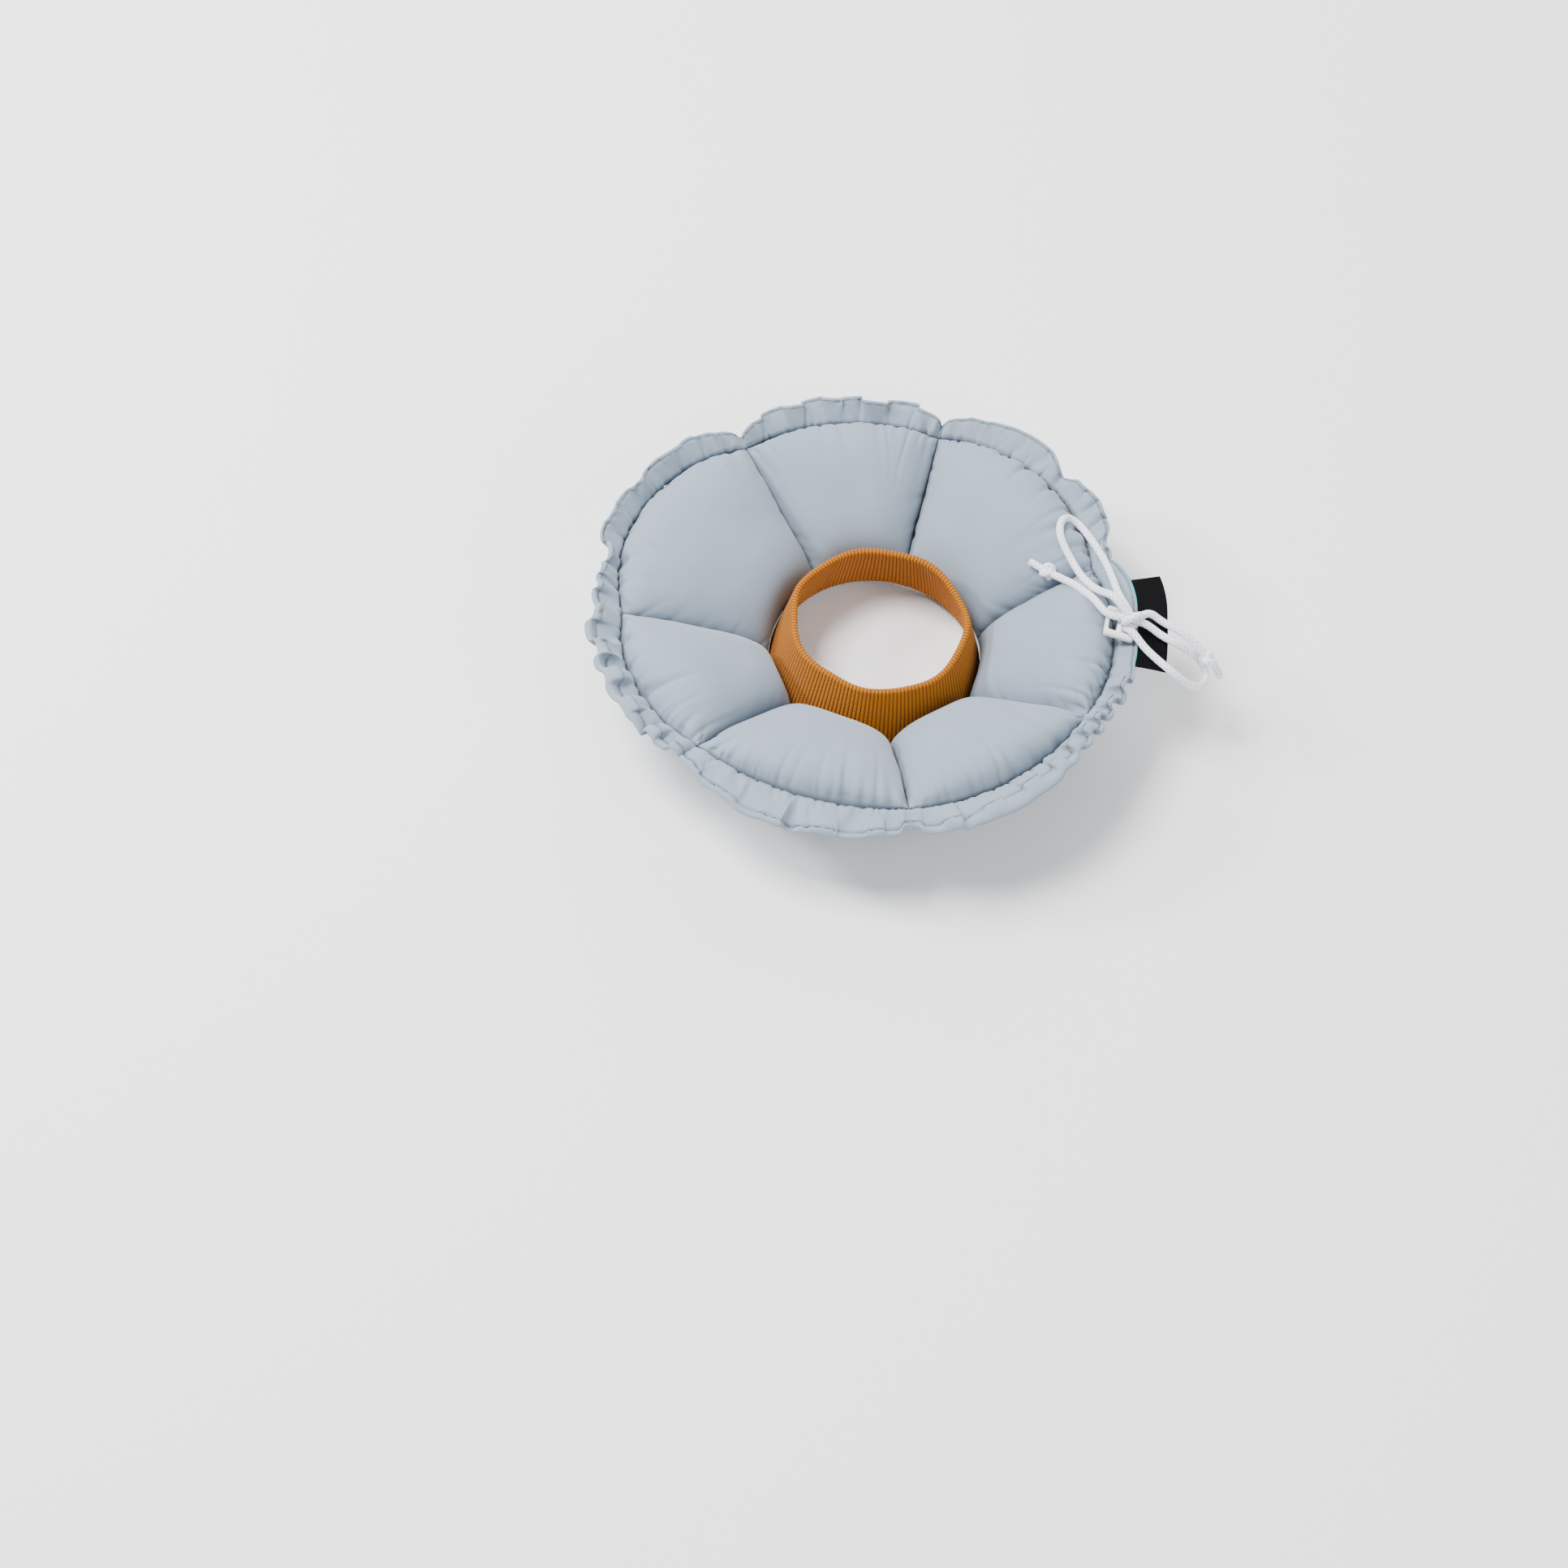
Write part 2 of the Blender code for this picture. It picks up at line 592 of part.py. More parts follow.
def main():
    clear_scene()
    collar = make_collection("recovery_collar")
    cutters = make_collection("cutters")
    for name in MATERIALS:
        make_material(name)
    make_petals(collar, cutters)
    make_casing(collar)
    make_cuff(collar)
    make_label(collar)
    make_slider(collar, cutters)
    make_knots(collar)
    make_leads(collar)
    make_cords(collar)


main()
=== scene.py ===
"""Looks of a soft recovery collar: stuffed petals, gathered rim, rib-knit cuff and a tied drawstring.

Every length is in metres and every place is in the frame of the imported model, +Z up, with +X towards
the slider and the label. Angles round the rim are read from the rim's centre.
"""

from __future__ import annotations

import logging
import math
from dataclasses import dataclass, replace
from enum import Enum

import bmesh
import bpy
import numpy as np
from mathutils import Matrix, Vector


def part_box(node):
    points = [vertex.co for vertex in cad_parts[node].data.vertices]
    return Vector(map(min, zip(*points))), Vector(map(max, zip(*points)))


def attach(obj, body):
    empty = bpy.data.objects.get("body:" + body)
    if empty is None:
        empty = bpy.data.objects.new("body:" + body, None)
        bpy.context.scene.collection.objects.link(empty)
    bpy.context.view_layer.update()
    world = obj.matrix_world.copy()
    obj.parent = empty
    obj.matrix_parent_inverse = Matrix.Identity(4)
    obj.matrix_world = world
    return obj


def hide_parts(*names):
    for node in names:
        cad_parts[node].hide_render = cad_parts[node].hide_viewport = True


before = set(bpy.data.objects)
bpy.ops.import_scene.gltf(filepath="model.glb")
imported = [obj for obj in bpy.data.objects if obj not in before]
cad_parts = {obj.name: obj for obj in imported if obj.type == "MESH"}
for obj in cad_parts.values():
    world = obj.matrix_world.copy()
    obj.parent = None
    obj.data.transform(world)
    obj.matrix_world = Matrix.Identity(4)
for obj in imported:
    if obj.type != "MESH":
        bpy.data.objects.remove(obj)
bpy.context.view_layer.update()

LOG = logging.getLogger("collar")
BODY = "root"
MM = 0.001


class Side(Enum):
    """Which cloth of a stuffed petal."""

    UPPER = 1
    LOWER = -1


@dataclass(frozen=True)
class PetalPlan:
    """One petal: the seam it starts at, and its bow, its filling and the pull of its creases as shares."""

    rim_deg: float
    neck_deg: float
    seam: float
    bow: float
    loft: float
    pull: float


PETALS = (
    PetalPlan(-23.5, -29.0, 1.030, 0.60, 0.96, 1.7),
    PetalPlan(20.5, 20.0, 0.985, 1.15, 1.00, 1.2),
    PetalPlan(77.0, 79.0, 0.990, 0.15, 0.94, 0.8),
    PetalPlan(127.0, 129.0, 0.985, 1.30, 1.04, 0.8),
    PetalPlan(189.0, 187.0, 1.020, 0.75, 0.98, 1.0),
    PetalPlan(231.5, 225.0, 0.995, -0.40, 1.00, 1.1),
    PetalPlan(285.0, 283.0, 1.000, 0.15, 1.03, 1.0),
)


@dataclass(frozen=True)
class CasingPlan:
    """How the casing stands at one angle.

    Its slope, its width as a share, the depth and the spacing of its gathers in millimetres, the share
    of them that reaches the free edge, and how far inside that edge the perimeter seam runs.
    """

    rim_deg: float
    slope_deg: float
    width: float
    gather: float
    spacing: float
    at_edge: float
    hem: float


CASING = (
    CasingPlan(-17, 28, 0.88, 3.0, 10, 0.7, 2.0),
    CasingPlan(-11, 26, 0.84, 2.0, 11, 0.6, 1.8),
    CasingPlan(-6, 24, 0.76, 0.2, 13, 0.3, 1.6),
    CasingPlan(2, 22, 0.72, 0.0, 15, 0.3, 1.6),
    CasingPlan(10, 22, 0.86, 0.0, 15, 0.3, 1.6),
    CasingPlan(16, 24, 0.88, 0.2, 13, 0.5, 1.6),
    CasingPlan(24, 36, 0.84, 1.0, 12, 0.6, 1.6),
    CasingPlan(34, 38, 1.02, 1.1, 14, 0.5, 1.6),
    CasingPlan(45, 46, 0.80, 1.2, 15, 0.7, 1.6),
    CasingPlan(56, 32, 1.02, 0.7, 22, 0.7, 1.6),
    CasingPlan(75, 36, 0.78, 1.0, 20, 0.9, 1.6),
    CasingPlan(84, 46, 0.88, 2.2, 22, 1.0, 1.6),
    CasingPlan(94, 50, 0.92, 3.8, 20, 1.0, 1.6),
    CasingPlan(104, 42, 0.97, 3.4, 19, 1.0, 1.6),
    CasingPlan(118, 40, 0.88, 1.7, 18, 0.9, 1.6),
    CasingPlan(127, 40, 0.78, 1.5, 17, 0.9, 1.6),
    CasingPlan(138, 43, 0.92, 1.3, 19, 0.8, 1.6),
    CasingPlan(155, 54, 0.88, 1.1, 24, 0.8, 1.6),
    CasingPlan(167, 44, 0.98, 1.2, 22, 0.9, 1.6),
    CasingPlan(178, 54, 0.82, 2.4, 14, 1.0, 1.8),
    CasingPlan(186, 36, 1.16, 2.0, 17, 0.9, 2.6),
    CasingPlan(195, 32, 1.20, 2.4, 16, 0.6, 5.0),
    CasingPlan(206, 38, 1.12, 3.6, 13, 0.3, 7.5),
    CasingPlan(218, 30, 1.08, 3.8, 12, 0.3, 6.5),
    CasingPlan(229, 20, 0.98, 2.6, 13, 0.4, 4.0),
    CasingPlan(238, 12, 1.10, 1.8, 16, 0.5, 3.2),
    CasingPlan(250, 2, 1.28, 1.3, 21, 0.5, 3.4),
    CasingPlan(262, -2, 1.24, 1.6, 19, 0.5, 3.2),
    CasingPlan(274, -2, 1.08, 1.4, 20, 0.5, 3.0),
    CasingPlan(284, 2, 0.96, 1.8, 15, 0.4, 3.4),
    CasingPlan(292, 8, 1.06, 1.4, 18, 0.3, 5.0),
    CasingPlan(304, 24, 1.18, 1.5, 17, 0.2, 8.0),
    CasingPlan(316, 34, 1.14, 2.0, 14, 0.1, 8.5),
    CasingPlan(326, 44, 1.04, 3.4, 11, 0.3, 5.5),
    CasingPlan(335, 38, 0.96, 3.2, 10, 0.6, 2.8),
)


@dataclass(frozen=True)
class Pinch:
    """A sharp valley across the casing where a gather has locked: its place, depth, width and pull."""

    rim_deg: float
    depth: float
    width: float
    pull: float


PINCHES = (
    Pinch(25.5, 2.6, 2.0, 3.2),
    Pinch(31.0, 2.0, 1.5, 0.8),
    Pinch(35.5, 1.8, 1.4, 0.5),
    Pinch(45.5, 2.6, 2.2, 4.0),
    Pinch(77.0, 2.6, 2.0, 3.0),
    Pinch(97.0, 2.4, 2.2, 1.0),
    Pinch(127.5, 3.0, 2.4, 4.2),
    Pinch(136.0, 1.8, 2.0, 0.4),
    Pinch(143.0, 1.3, 1.8, 0.6),
    Pinch(158.0, 1.8, 2.4, 0.8),
    Pinch(177.5, 3.2, 2.2, 3.6),
    Pinch(183.0, 2.2, 1.8, 0.4),
    Pinch(201.0, 2.0, 2.0, 1.6),
    Pinch(222.0, 3.2, 2.4, 1.6),
    Pinch(231.5, 2.0, 2.0, 0.8),
    Pinch(259.5, 3.0, 1.5, 1.2),
    Pinch(285.0, 3.0, 2.0, 2.2),
    Pinch(296.0, 2.2, 1.8, 0.6),
    Pinch(343.5, 2.4, 1.7, 1.8),
    Pinch(348.0, 1.6, 1.4, 0.4),
)


@dataclass(frozen=True)
class Tuck:
    """A deep crease that the gathered rim pulls into a petal: its place, depth, width, reach and lean."""

    rim_deg: float
    depth: float
    width: float
    reach: float
    lean: float


TUCKS = (
    Tuck(-19.0, 1.9, 1.5, 15.0, 0.55),
    Tuck(-15.5, 2.4, 1.5, 19.0, 0.45),
    Tuck(-11.5, 2.0, 1.4, 15.0, 0.30),
    Tuck(-8.0, 1.5, 1.5, 12.0, 0.15),
    Tuck(24.5, 1.8, 1.7, 20.0, 0.35),
    Tuck(31.0, 2.0, 2.2, 26.0, 0.25),
    Tuck(46.0, 1.4, 1.8, 14.0, -0.15),
    Tuck(60.0, 1.1, 1.6, 12.0, 0.10),
    Tuck(131.0, 1.4, 1.7, 14.0, 0.30),
    Tuck(150.0, 1.2, 2.0, 13.0, 0.10),
    Tuck(176.0, 1.6, 1.8, 15.0, -0.20),
    Tuck(197.0, 1.9, 1.8, 14.0, 0.30),
    Tuck(212.5, 1.8, 1.9, 16.0, 0.25),
    Tuck(226.5, 1.5, 1.6, 12.0, -0.10),
    Tuck(235.0, 1.9, 1.5, 17.0, 0.25),
    Tuck(240.0, 1.4, 1.5, 13.0, 0.15),
    Tuck(270.0, 1.0, 1.5, 14.0, -0.10),
    Tuck(301.0, 1.2, 1.5, 12.0, -0.15),
    Tuck(318.0, 1.4, 1.6, 13.0, -0.20),
)


# ---- shared tools ----


def linear(hex_colour: str) -> tuple[float, float, float, float]:
    """Turn an sRGB hex colour into the linear colour that a shader takes.

    Args:
        hex_colour: six hex digits after a hash sign.

    Returns:
        Linear red, green and blue, and an alpha of one.
    """
    parts = [int(hex_colour[at : at + 2], 16) / 255.0 for at in (1, 3, 5)]
    curved = [p / 12.92 if p <= 0.04045 else ((p + 0.055) / 1.055) ** 2.4 for p in parts]
    return (curved[0], curved[1], curved[2], 1.0)


def unit(vectors: np.ndarray) -> np.ndarray:
    """Scale vectors, which lie along the last axis, to a length of one."""
    return vectors / np.linalg.norm(vectors, axis=-1, keepdims=True)


def bell(offset: np.ndarray) -> np.ndarray:
    """A bell, one high at zero and 1/e high at one."""
    return np.exp(-(offset**2))


def eased(share: np.ndarray) -> np.ndarray:
    """A share from 0 to 1, eased at both ends by 3t^2 - 2t^3."""
    return share * share * (3.0 - 2.0 * share)


def run_of(points: np.ndarray) -> np.ndarray:
    """Distance travelled along a line of points, from zero at the first."""
    return np.concatenate([[0.0], np.cumsum(np.linalg.norm(np.diff(points, axis=0), axis=1))])


def turns_of(count: int) -> np.ndarray:
    """Angles that divide a full turn evenly."""
    return np.linspace(0.0, 2.0 * math.pi, count, endpoint=False)


def circles(angle: np.ndarray, first: np.ndarray, second: np.ndarray) -> np.ndarray:
    """Unit circles, one at each place of a path.

    Args:
        angle: angles round each circle.
        first: the direction of angle zero at each place.
        second: the direction of a quarter turn at each place.

    Returns:
        Directions, with the angles on the last axis but one.
    """
    return np.cos(angle)[:, None] * first[..., None, :] + np.sin(angle)[:, None] * second[..., None, :]


def square_to(along: np.ndarray) -> tuple[np.ndarray, np.ndarray]:
    """The level direction and the upward one that are square to a direction."""
    side = unit(np.cross(along, [0.0, 0.0, 1.0]))
    return side, np.cross(side, along)


def value_noise(position: np.ndarray, seed: int, period: int = 4096) -> np.ndarray:
    """Random heights at whole numbers, eased between neighbours.

    Args:
        position: where to read the noise.
        seed: which table of heights to use.
        period: after how many whole numbers the noise repeats.

    Returns:
        Heights from -1 to 1, in the shape of the positions.
    """
    table = np.random.default_rng(seed).uniform(-1.0, 1.0, period)
    cell = np.floor(position).astype(int)
    ease = eased(position - cell)
    return table[cell % period] * (1.0 - ease) + table[(cell + 1) % period] * ease


def soft_relief(x: np.ndarray, y: np.ndarray, seed: int, size: int = 64) -> np.ndarray:
    """Value noise in two dimensions, eased along both.

    Args:
        x: first coordinate, a table cell to each whole number.
        y: second coordinate.
        seed: which table of heights to use.
        size: cells before the table repeats.

    Returns:
        Heights from -1 to 1.
    """
    table = np.random.default_rng(seed).uniform(-1.0, 1.0, (size, size))
    cell_x, cell_y = np.floor(x).astype(int), np.floor(y).astype(int)
    ease_x, ease_y = eased(x - cell_x), eased(y - cell_y)
    row, next_row = cell_x % size, (cell_x + 1) % size
    column, next_column = cell_y % size, (cell_y + 1) % size
    near = table[row, column] * (1 - ease_x) + table[next_row, column] * ease_x
    far = table[row, next_column] * (1 - ease_x) + table[next_row, next_column] * ease_x
    return near * (1 - ease_y) + far * ease_y


def normals_of(points: np.ndarray) -> np.ndarray:
    """Unit normals of a grid of points, from the cross product of its two directions.

    Args:
        points: rows by columns by three.

    Returns:
        Unit normals in the same shape.
    """
    normal = np.cross(np.gradient(points, axis=0), np.gradient(points, axis=1))
    return normal / np.maximum(np.linalg.norm(normal, axis=-1, keepdims=True), 1e-12)


@dataclass(frozen=True)
class Creases:
    """Short pulled creases that leave a sewn line: their spacing, depth, width, reach and lean."""

    spacing: float
    depth: float
    width: float
    reach: float
    lean: float
    seed: int

    def relief(self, along: np.ndarray, away: np.ndarray, length: float) -> np.ndarray:
        """Height of the cloth beside the line.

        Each crease is a bell-shaped valley across its own line, which leaves the seam at a lean of
        its own and fades as exp(-(away / reach)^1.6).

        Args:
            along: distance along the sewn line.
            away: distance from it.
            length: how long the sewn line is.

        Returns:
            Heights, zero or below.
        """
        rng = np.random.default_rng(self.seed)
        count = max(1, round(length / self.spacing))
        places = (np.arange(count) + rng.uniform(0.1, 0.9, count)) * length / count
        depths = self.depth * rng.uniform(0.15, 1.0, count) ** 1.4
        widths = self.width * rng.uniform(0.6, 1.5, count)
        reaches = self.reach * rng.uniform(0.35, 1.3, count)
        leans = self.lean * rng.uniform(-1.0, 1.0, count)
        total = np.zeros_like(along)
        for place, depth, width, reach, lean in zip(places, depths, widths, reaches, leans):
            offset = (along - place - lean * away) / (width * (1.0 + 0.6 * away / reach))
            near = np.abs(offset) < 3.0
            total[near] -= depth * np.exp(-offset[near] ** 2 - (away[near] / reach) ** 1.6)
        return total


def grid_faces(rows: int, columns: int, wrap_rows: bool, wrap_columns: bool) -> np.ndarray:
    """Quads of a grid whose points are numbered row by row.

    Args:
        rows: number of rows.
        columns: number of columns.
        wrap_rows: whether the last row joins the first.
        wrap_columns: whether the last column joins the first.

    Returns:
        One row of four point numbers for each quad.
    """
    down = np.arange(rows if wrap_rows else rows - 1)
    right = np.arange(columns if wrap_columns else columns - 1)
    row, column = np.meshgrid(down, right, indexing="ij")
    below, beside = (row + 1) % rows, (column + 1) % columns
    corners = ((row, column), (below, column), (below, beside), (row, beside))
    return np.stack([(down * columns + right).ravel() for down, right in corners], -1)


def store(mesh: bpy.types.Mesh, name: str, values: np.ndarray) -> None:
    """Store a number for each point of a mesh, for its material to read.

    Args:
        mesh: the mesh.
        name: the attribute's name.
        values: a number for each point.
    """
    layer = mesh.attributes.new(name, "FLOAT", "POINT")
    layer.data.foreach_set("value", values.ravel().astype(np.float32))


def linked(mesh: bpy.types.Mesh, shape: bmesh.types.BMesh) -> bpy.types.Object:
    """Write an edited shape back to its mesh, shade it smooth and link it as an object.

    Args:
        mesh: the mesh, whose name the object takes.
        shape: the edited shape, which is freed.

    Returns:
        The linked object.
    """
    shape.to_mesh(mesh)
    shape.free()
    mesh.shade_smooth()
    piece = bpy.data.objects.new(mesh.name, mesh)
    bpy.context.scene.collection.objects.link(piece)
    return piece


def make_mesh(
    name: str,
    points: np.ndarray,
    faces: np.ndarray,
    maps: np.ndarray | None = None,
    seam: np.ndarray | None = None,
    relief: np.ndarray | None = None,
) -> bpy.types.Object:
    """Put points and quads into a mesh object, smooth shaded and facing out.

    Args:
        name: the object's name.
        points: one row of three for each point.
        faces: one row of point numbers for each face.
        maps: a row of two for each point, for its UV map.
        seam: how near a sewn line each point lies, stored for the cloth's dark sewn line and painted seam
            shade; points that meet are then merged.
        relief: how far each point of a braid stands out, also read by the cord's material for painted shade
            in its hollows; open ends are then filled.

    Returns:
        The linked object.
    """
    mesh = bpy.data.meshes.new(name)
    mesh.from_pydata(points.reshape(-1, 3).tolist(), [], faces.tolist())
    if maps is not None:
        layer = mesh.uv_layers.new(name="cloth")
        corner = np.zeros(len(mesh.loops), np.int32)
        mesh.loops.foreach_get("vertex_index", corner)
        layer.data.foreach_set("uv", maps.reshape(-1, 2)[corner].ravel().astype(np.float32))
    for attribute, values in (("seam", seam), ("relief", relief)):
        if values is not None:
            store(mesh, attribute, values)
    shape = bmesh.new()
    shape.from_mesh(mesh)
    if seam is not None:
        bmesh.ops.remove_doubles(shape, verts=shape.verts, dist=2e-6)
        bmesh.ops.dissolve_degenerate(shape, dist=1e-7, edges=shape.edges)
    if relief is not None:
        bmesh.ops.holes_fill(shape, edges=[edge for edge in shape.edges if edge.is_boundary], sides=0)
    bmesh.ops.recalc_face_normals(shape, faces=shape.faces)
    return linked(mesh, shape)


def joined(parts: list[tuple[np.ndarray, np.ndarray]]) -> tuple[np.ndarray, np.ndarray]:
    """Join several sets of points and quads into one.

    Args:
        parts: pairs of points and faces.

    Returns:
        All the points, and all the faces numbered anew.
    """
    starts = np.cumsum([0] + [len(points) for points, _ in parts[:-1]])
    points = np.concatenate([points for points, _ in parts])
    faces = np.concatenate([faces + start for (_, faces), start in zip(parts, starts)])
    return points, faces


def dress(piece: bpy.types.Object, finish: bpy.types.Material, slot: str, *nodes: str) -> None:
    """Give a piece its material and its body, and let it stand for CAD nodes.

    Args:
        piece: the finished object.
        finish: its material.
        slot: not used.
        nodes: CAD nodes that the piece replaces.
    """
    piece.data.materials.clear()
    piece.data.materials.append(finish)
    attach(piece, BODY)
    if nodes:
        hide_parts(*nodes)
    LOG.info("%s: %d faces", piece.name, len(piece.data.polygons))


# ---- finishes ----


class NodeTree:
    """A material's node tree, with one helper that adds a node."""

    def __init__(self, name: str) -> None:
        """Start a material with an empty Principled shader.

        Args:
            name: the material's name.
        """
        self.material = bpy.data.materials.new(name)
        self.material.use_nodes = True
        self.tree = self.material.node_tree
        self.shader = self.tree.nodes["Principled BSDF"]

    def add(self, kind: str, links: dict | None = None, **settings: object) -> bpy.types.Node:
        """Add one node with its settings and links.

        Args:
            kind: the node's type.
            links: what feeds each input: a socket to link, or a value to set.
            settings: attributes of the node.

        Returns:
            The new node.
        """
        node = self.tree.nodes.new(kind)
        for key, value in settings.items():
            setattr(node, key, value)
        for key, value in (links or {}).items():
            if isinstance(value, bpy.types.NodeSocket):
                self.tree.links.new(value, node.inputs[key])
            else:
                node.inputs[key].default_value = value
        return node

    def feed(self, socket: str, source: bpy.types.NodeSocket) -> None:
        """Link a source to one of the shader's inputs."""
        self.tree.links.new(source, self.shader.inputs[socket])

    def fix(self, **values: float) -> None:
        """Set numbers on the shader's own sockets, named with underscores for spaces."""
        for key, value in values.items():
            self.shader.inputs[key.replace("_", " ")].default_value = value

    def maths(self, operation: str, *values: object) -> bpy.types.NodeSocket:
        """Add a maths node, fed with sockets or numbers in order, and give its result."""
        return self.add("ShaderNodeMath", dict(enumerate(values)), operation=operation).outputs[0]

    def noise(self, scale: float, detail: float) -> bpy.types.NodeSocket:
        """Add noise over the piece's own space, and give its height.

        Args:
            scale: cells to a metre.
            detail: how many finer layers are added.

        Returns:
            The height's socket, from 0 to 1.
        """
        space = self.add("ShaderNodeTexCoord").outputs["Object"]
        links = {"Vector": space, "Scale": scale, "Detail": detail}
        return self.add("ShaderNodeTexNoise", links).outputs["Fac"]

    def cloth_map(self) -> tuple[bpy.types.NodeSocket, bpy.types.NodeSocket]:
        """Give the two coordinates of the piece's UV map.

        Returns:
            The sockets of U and V.
        """
        place = self.add("ShaderNodeTexCoord").outputs["UV"]
        parts = self.add("ShaderNodeSeparateXYZ", {"Vector": place}).outputs
        return parts["X"], parts["Y"]

    def attribute(self, name: str) -> bpy.types.NodeSocket:
        """Give an attribute that the mesh stores for each point."""
        return self.add("ShaderNodeAttribute", attribute_name=name).outputs["Fac"]

    def mix(self, share: bpy.types.NodeSocket, first: object, second: object) -> bpy.types.NodeSocket:
        """Blend two colours by a share, and give the result."""
        links = {"Factor": share, "A": first, "B": second}
        return self.add("ShaderNodeMix", links, data_type="RGBA").outputs["Result"]

    def bump(self, height: bpy.types.NodeSocket, strength: float, distance: float) -> None:
        """Tilt the shader's normal by the slope of a height."""
        links = {"Height": height, "Strength": strength, "Distance": distance}
        self.feed("Normal", self.add("ShaderNodeBump", links).outputs["Normal"])


@dataclass(frozen=True)
class WovenCloth:
    """Brushed polyester and cotton plain weave: matt, even, with a faint cool nap.

    The real threads lie 0.25 mm apart, too fine to show, so the weave is drawn three times as coarse.
    """

    name: str = "brushed_poplin"
    light: str = "#8996A4"
    dark: str = "#7C8A98"
    # sewn: the dark of a sewn line together with painted shade in the seam's groove.
    sewn: str = "#47535F"
    thread: float = 0.75 * MM
    weave_depth: float = 0.05 * MM

    def make(self) -> bpy.types.Material:
        """Build the material: a plain weave read from the piece's UV map in metres, a soft mottle, and a
        dark sewn line with painted seam shade.

        Returns:
            The material.
        """
        n = NodeTree(self.name)
        turns = 2.0 * math.pi / self.thread
        warp, weft = (n.maths("SINE", n.maths("MULTIPLY", way, turns)) for way in n.cloth_map())
        weave = n.maths("MULTIPLY", warp, weft)
        nap = n.maths("MULTIPLY_ADD", n.noise(scale=900.0, detail=3.0), 1.4, weave)
        tone = n.mix(n.noise(scale=38.0, detail=4.0), linear(self.dark), linear(self.light))
        # Painted shade: near each sewn line the cloth darkens towards the sewn colour, for the thread line
        # and the shade in the seam's groove.
        n.feed("Base Color", n.mix(n.attribute("seam"), tone, linear(self.sewn)))
        n.bump(nap, 0.35, self.weave_depth)
        n.fix(Roughness=0.82, Specular_IOR_Level=0.3, Sheen_Weight=0.25, Sheen_Roughness=0.5)
        return n.material


@dataclass(frozen=True)
class RibKnit:
    """Cotton rib knit: soft and dull, with rows of V-shaped loops down each rib.

    The UV map counts ribs along U and courses of loops along V.
    """

    name: str = "rib_knit_cotton"
    # light is the knit on its ribs; dark is painted shade for the hollows between ribs and between loops.
    light: str = "#A96410"
    dark: str = "#6B3A04"
    loop_depth: float = 0.16 * MM
    chevron: float = 1.5

    def make(self) -> bpy.types.Material:
        """Build the material: loops as a chevron of sines, with painted shade between ribs and between
        loops.

        Returns:
            The material.
        """
        n = NodeTree(self.name)
        across, down = n.cloth_map()
        side = n.maths("ABSOLUTE", n.maths("SUBTRACT", n.maths("FRACT", across), 0.5))
        chevron = n.maths("MULTIPLY_ADD", side, self.chevron, down)
        loops = n.maths("SINE", n.maths("MULTIPLY", chevron, 2.0 * math.pi))
        height = n.maths("MULTIPLY_ADD", n.noise(scale=1400.0, detail=4.0), 0.9, loops)
        # Painted shade: valley is 1 on a rib and 0 between ribs; with the loops it darkens the base colour
        # in the knit's hollows.
        links = {"Value": side, "From Min": 0.22, "From Max": 0.5, "To Min": 1.0, "To Max": 0.0}
        valley = n.add("ShaderNodeMapRange", links).outputs[0]
        lit = n.maths("MULTIPLY_ADD", loops, 0.16, valley)
        n.feed("Base Color", n.mix(lit, linear(self.dark), linear(self.light)))
        n.bump(height, 0.6, self.loop_depth)
        n.fix(Roughness=0.95, Specular_IOR_Level=0.1, Sheen_Weight=0.05, Sheen_Roughness=0.6)
        return n.material


@dataclass(frozen=True)
class BraidedCotton:
    """Bleached cotton yarn braided round a core: white, dull and slightly hairy."""

    name: str = "braided_cotton"
    # light is the cotton's white on the strands; dark is painted shade for the braid's hollows.
    light: str = "#F0F1F9"
    dark: str = "#B2B7C8"
    strand: float = 0.30 * MM
    fuzz: float = 0.12 * MM

    def make(self) -> bpy.types.Material:
        """Build the material: fibre noise over the braid's modelled strands, and painted shade in the
        hollows between them.

        Returns:
            The material.
        """
        n = NodeTree(self.name)
        # Painted shade: the colour darkens where the braid's relief is low, in the hollows between strands.
        n.feed("Base Color", n.mix(n.attribute("relief"), linear(self.dark), linear(self.light)))
        n.bump(n.noise(scale=1.0 / self.strand, detail=5.0), 0.5, self.fuzz)
        n.fix(Roughness=0.9, Specular_IOR_Level=0.2, Sheen_Weight=0.4, Sheen_Roughness=0.5)
        return n.material


@dataclass(frozen=True)
class SatinTape:
    """Woven polyester satin label tape, dyed black: close ribs across, and a faint silky gloss."""

    name: str = "woven_satin_tape"
    light: str = "#0C0C0E"
    dark: str = "#040405"
    rib: float = 0.5 * MM
    rib_depth: float = 0.06 * MM

    def make(self) -> bpy.types.Material:
        """Build the material: fine ribs along U of the UV map in metres, with a dusty mottle.

        Returns:
            The material.
        """
        n = NodeTree(self.name)
        across = n.maths("MULTIPLY", n.cloth_map()[1], 2.0 * math.pi / self.rib)
        lint = n.noise(scale=700.0, detail=5.0)
        n.feed("Base Color", n.mix(lint, linear(self.dark), linear(self.light)))
        n.bump(n.maths("MULTIPLY_ADD", lint, 1.5, n.maths("SINE", across)), 0.2, self.rib_depth)
        n.fix(Roughness=0.7, Specular_IOR_Level=0.05)
        return n.material


@dataclass(frozen=True)
class SewingThread:
    """Twisted polyester thread: fine, smooth and a little glossier than the cloth it sews."""

    name: str
    colour: str
    twist_depth: float = 0.05 * MM

    def make(self) -> bpy.types.Material:
        """Build the material: one colour with a fine twist in its bump.

        Returns:
            The material.
        """
        n = NodeTree(self.name)
        n.bump(n.noise(scale=2500.0, detail=2.0), 0.4, self.twist_depth)
        n.shader.inputs["Base Color"].default_value = linear(self.colour)
        n.fix(Roughness=0.55)
        return n.material


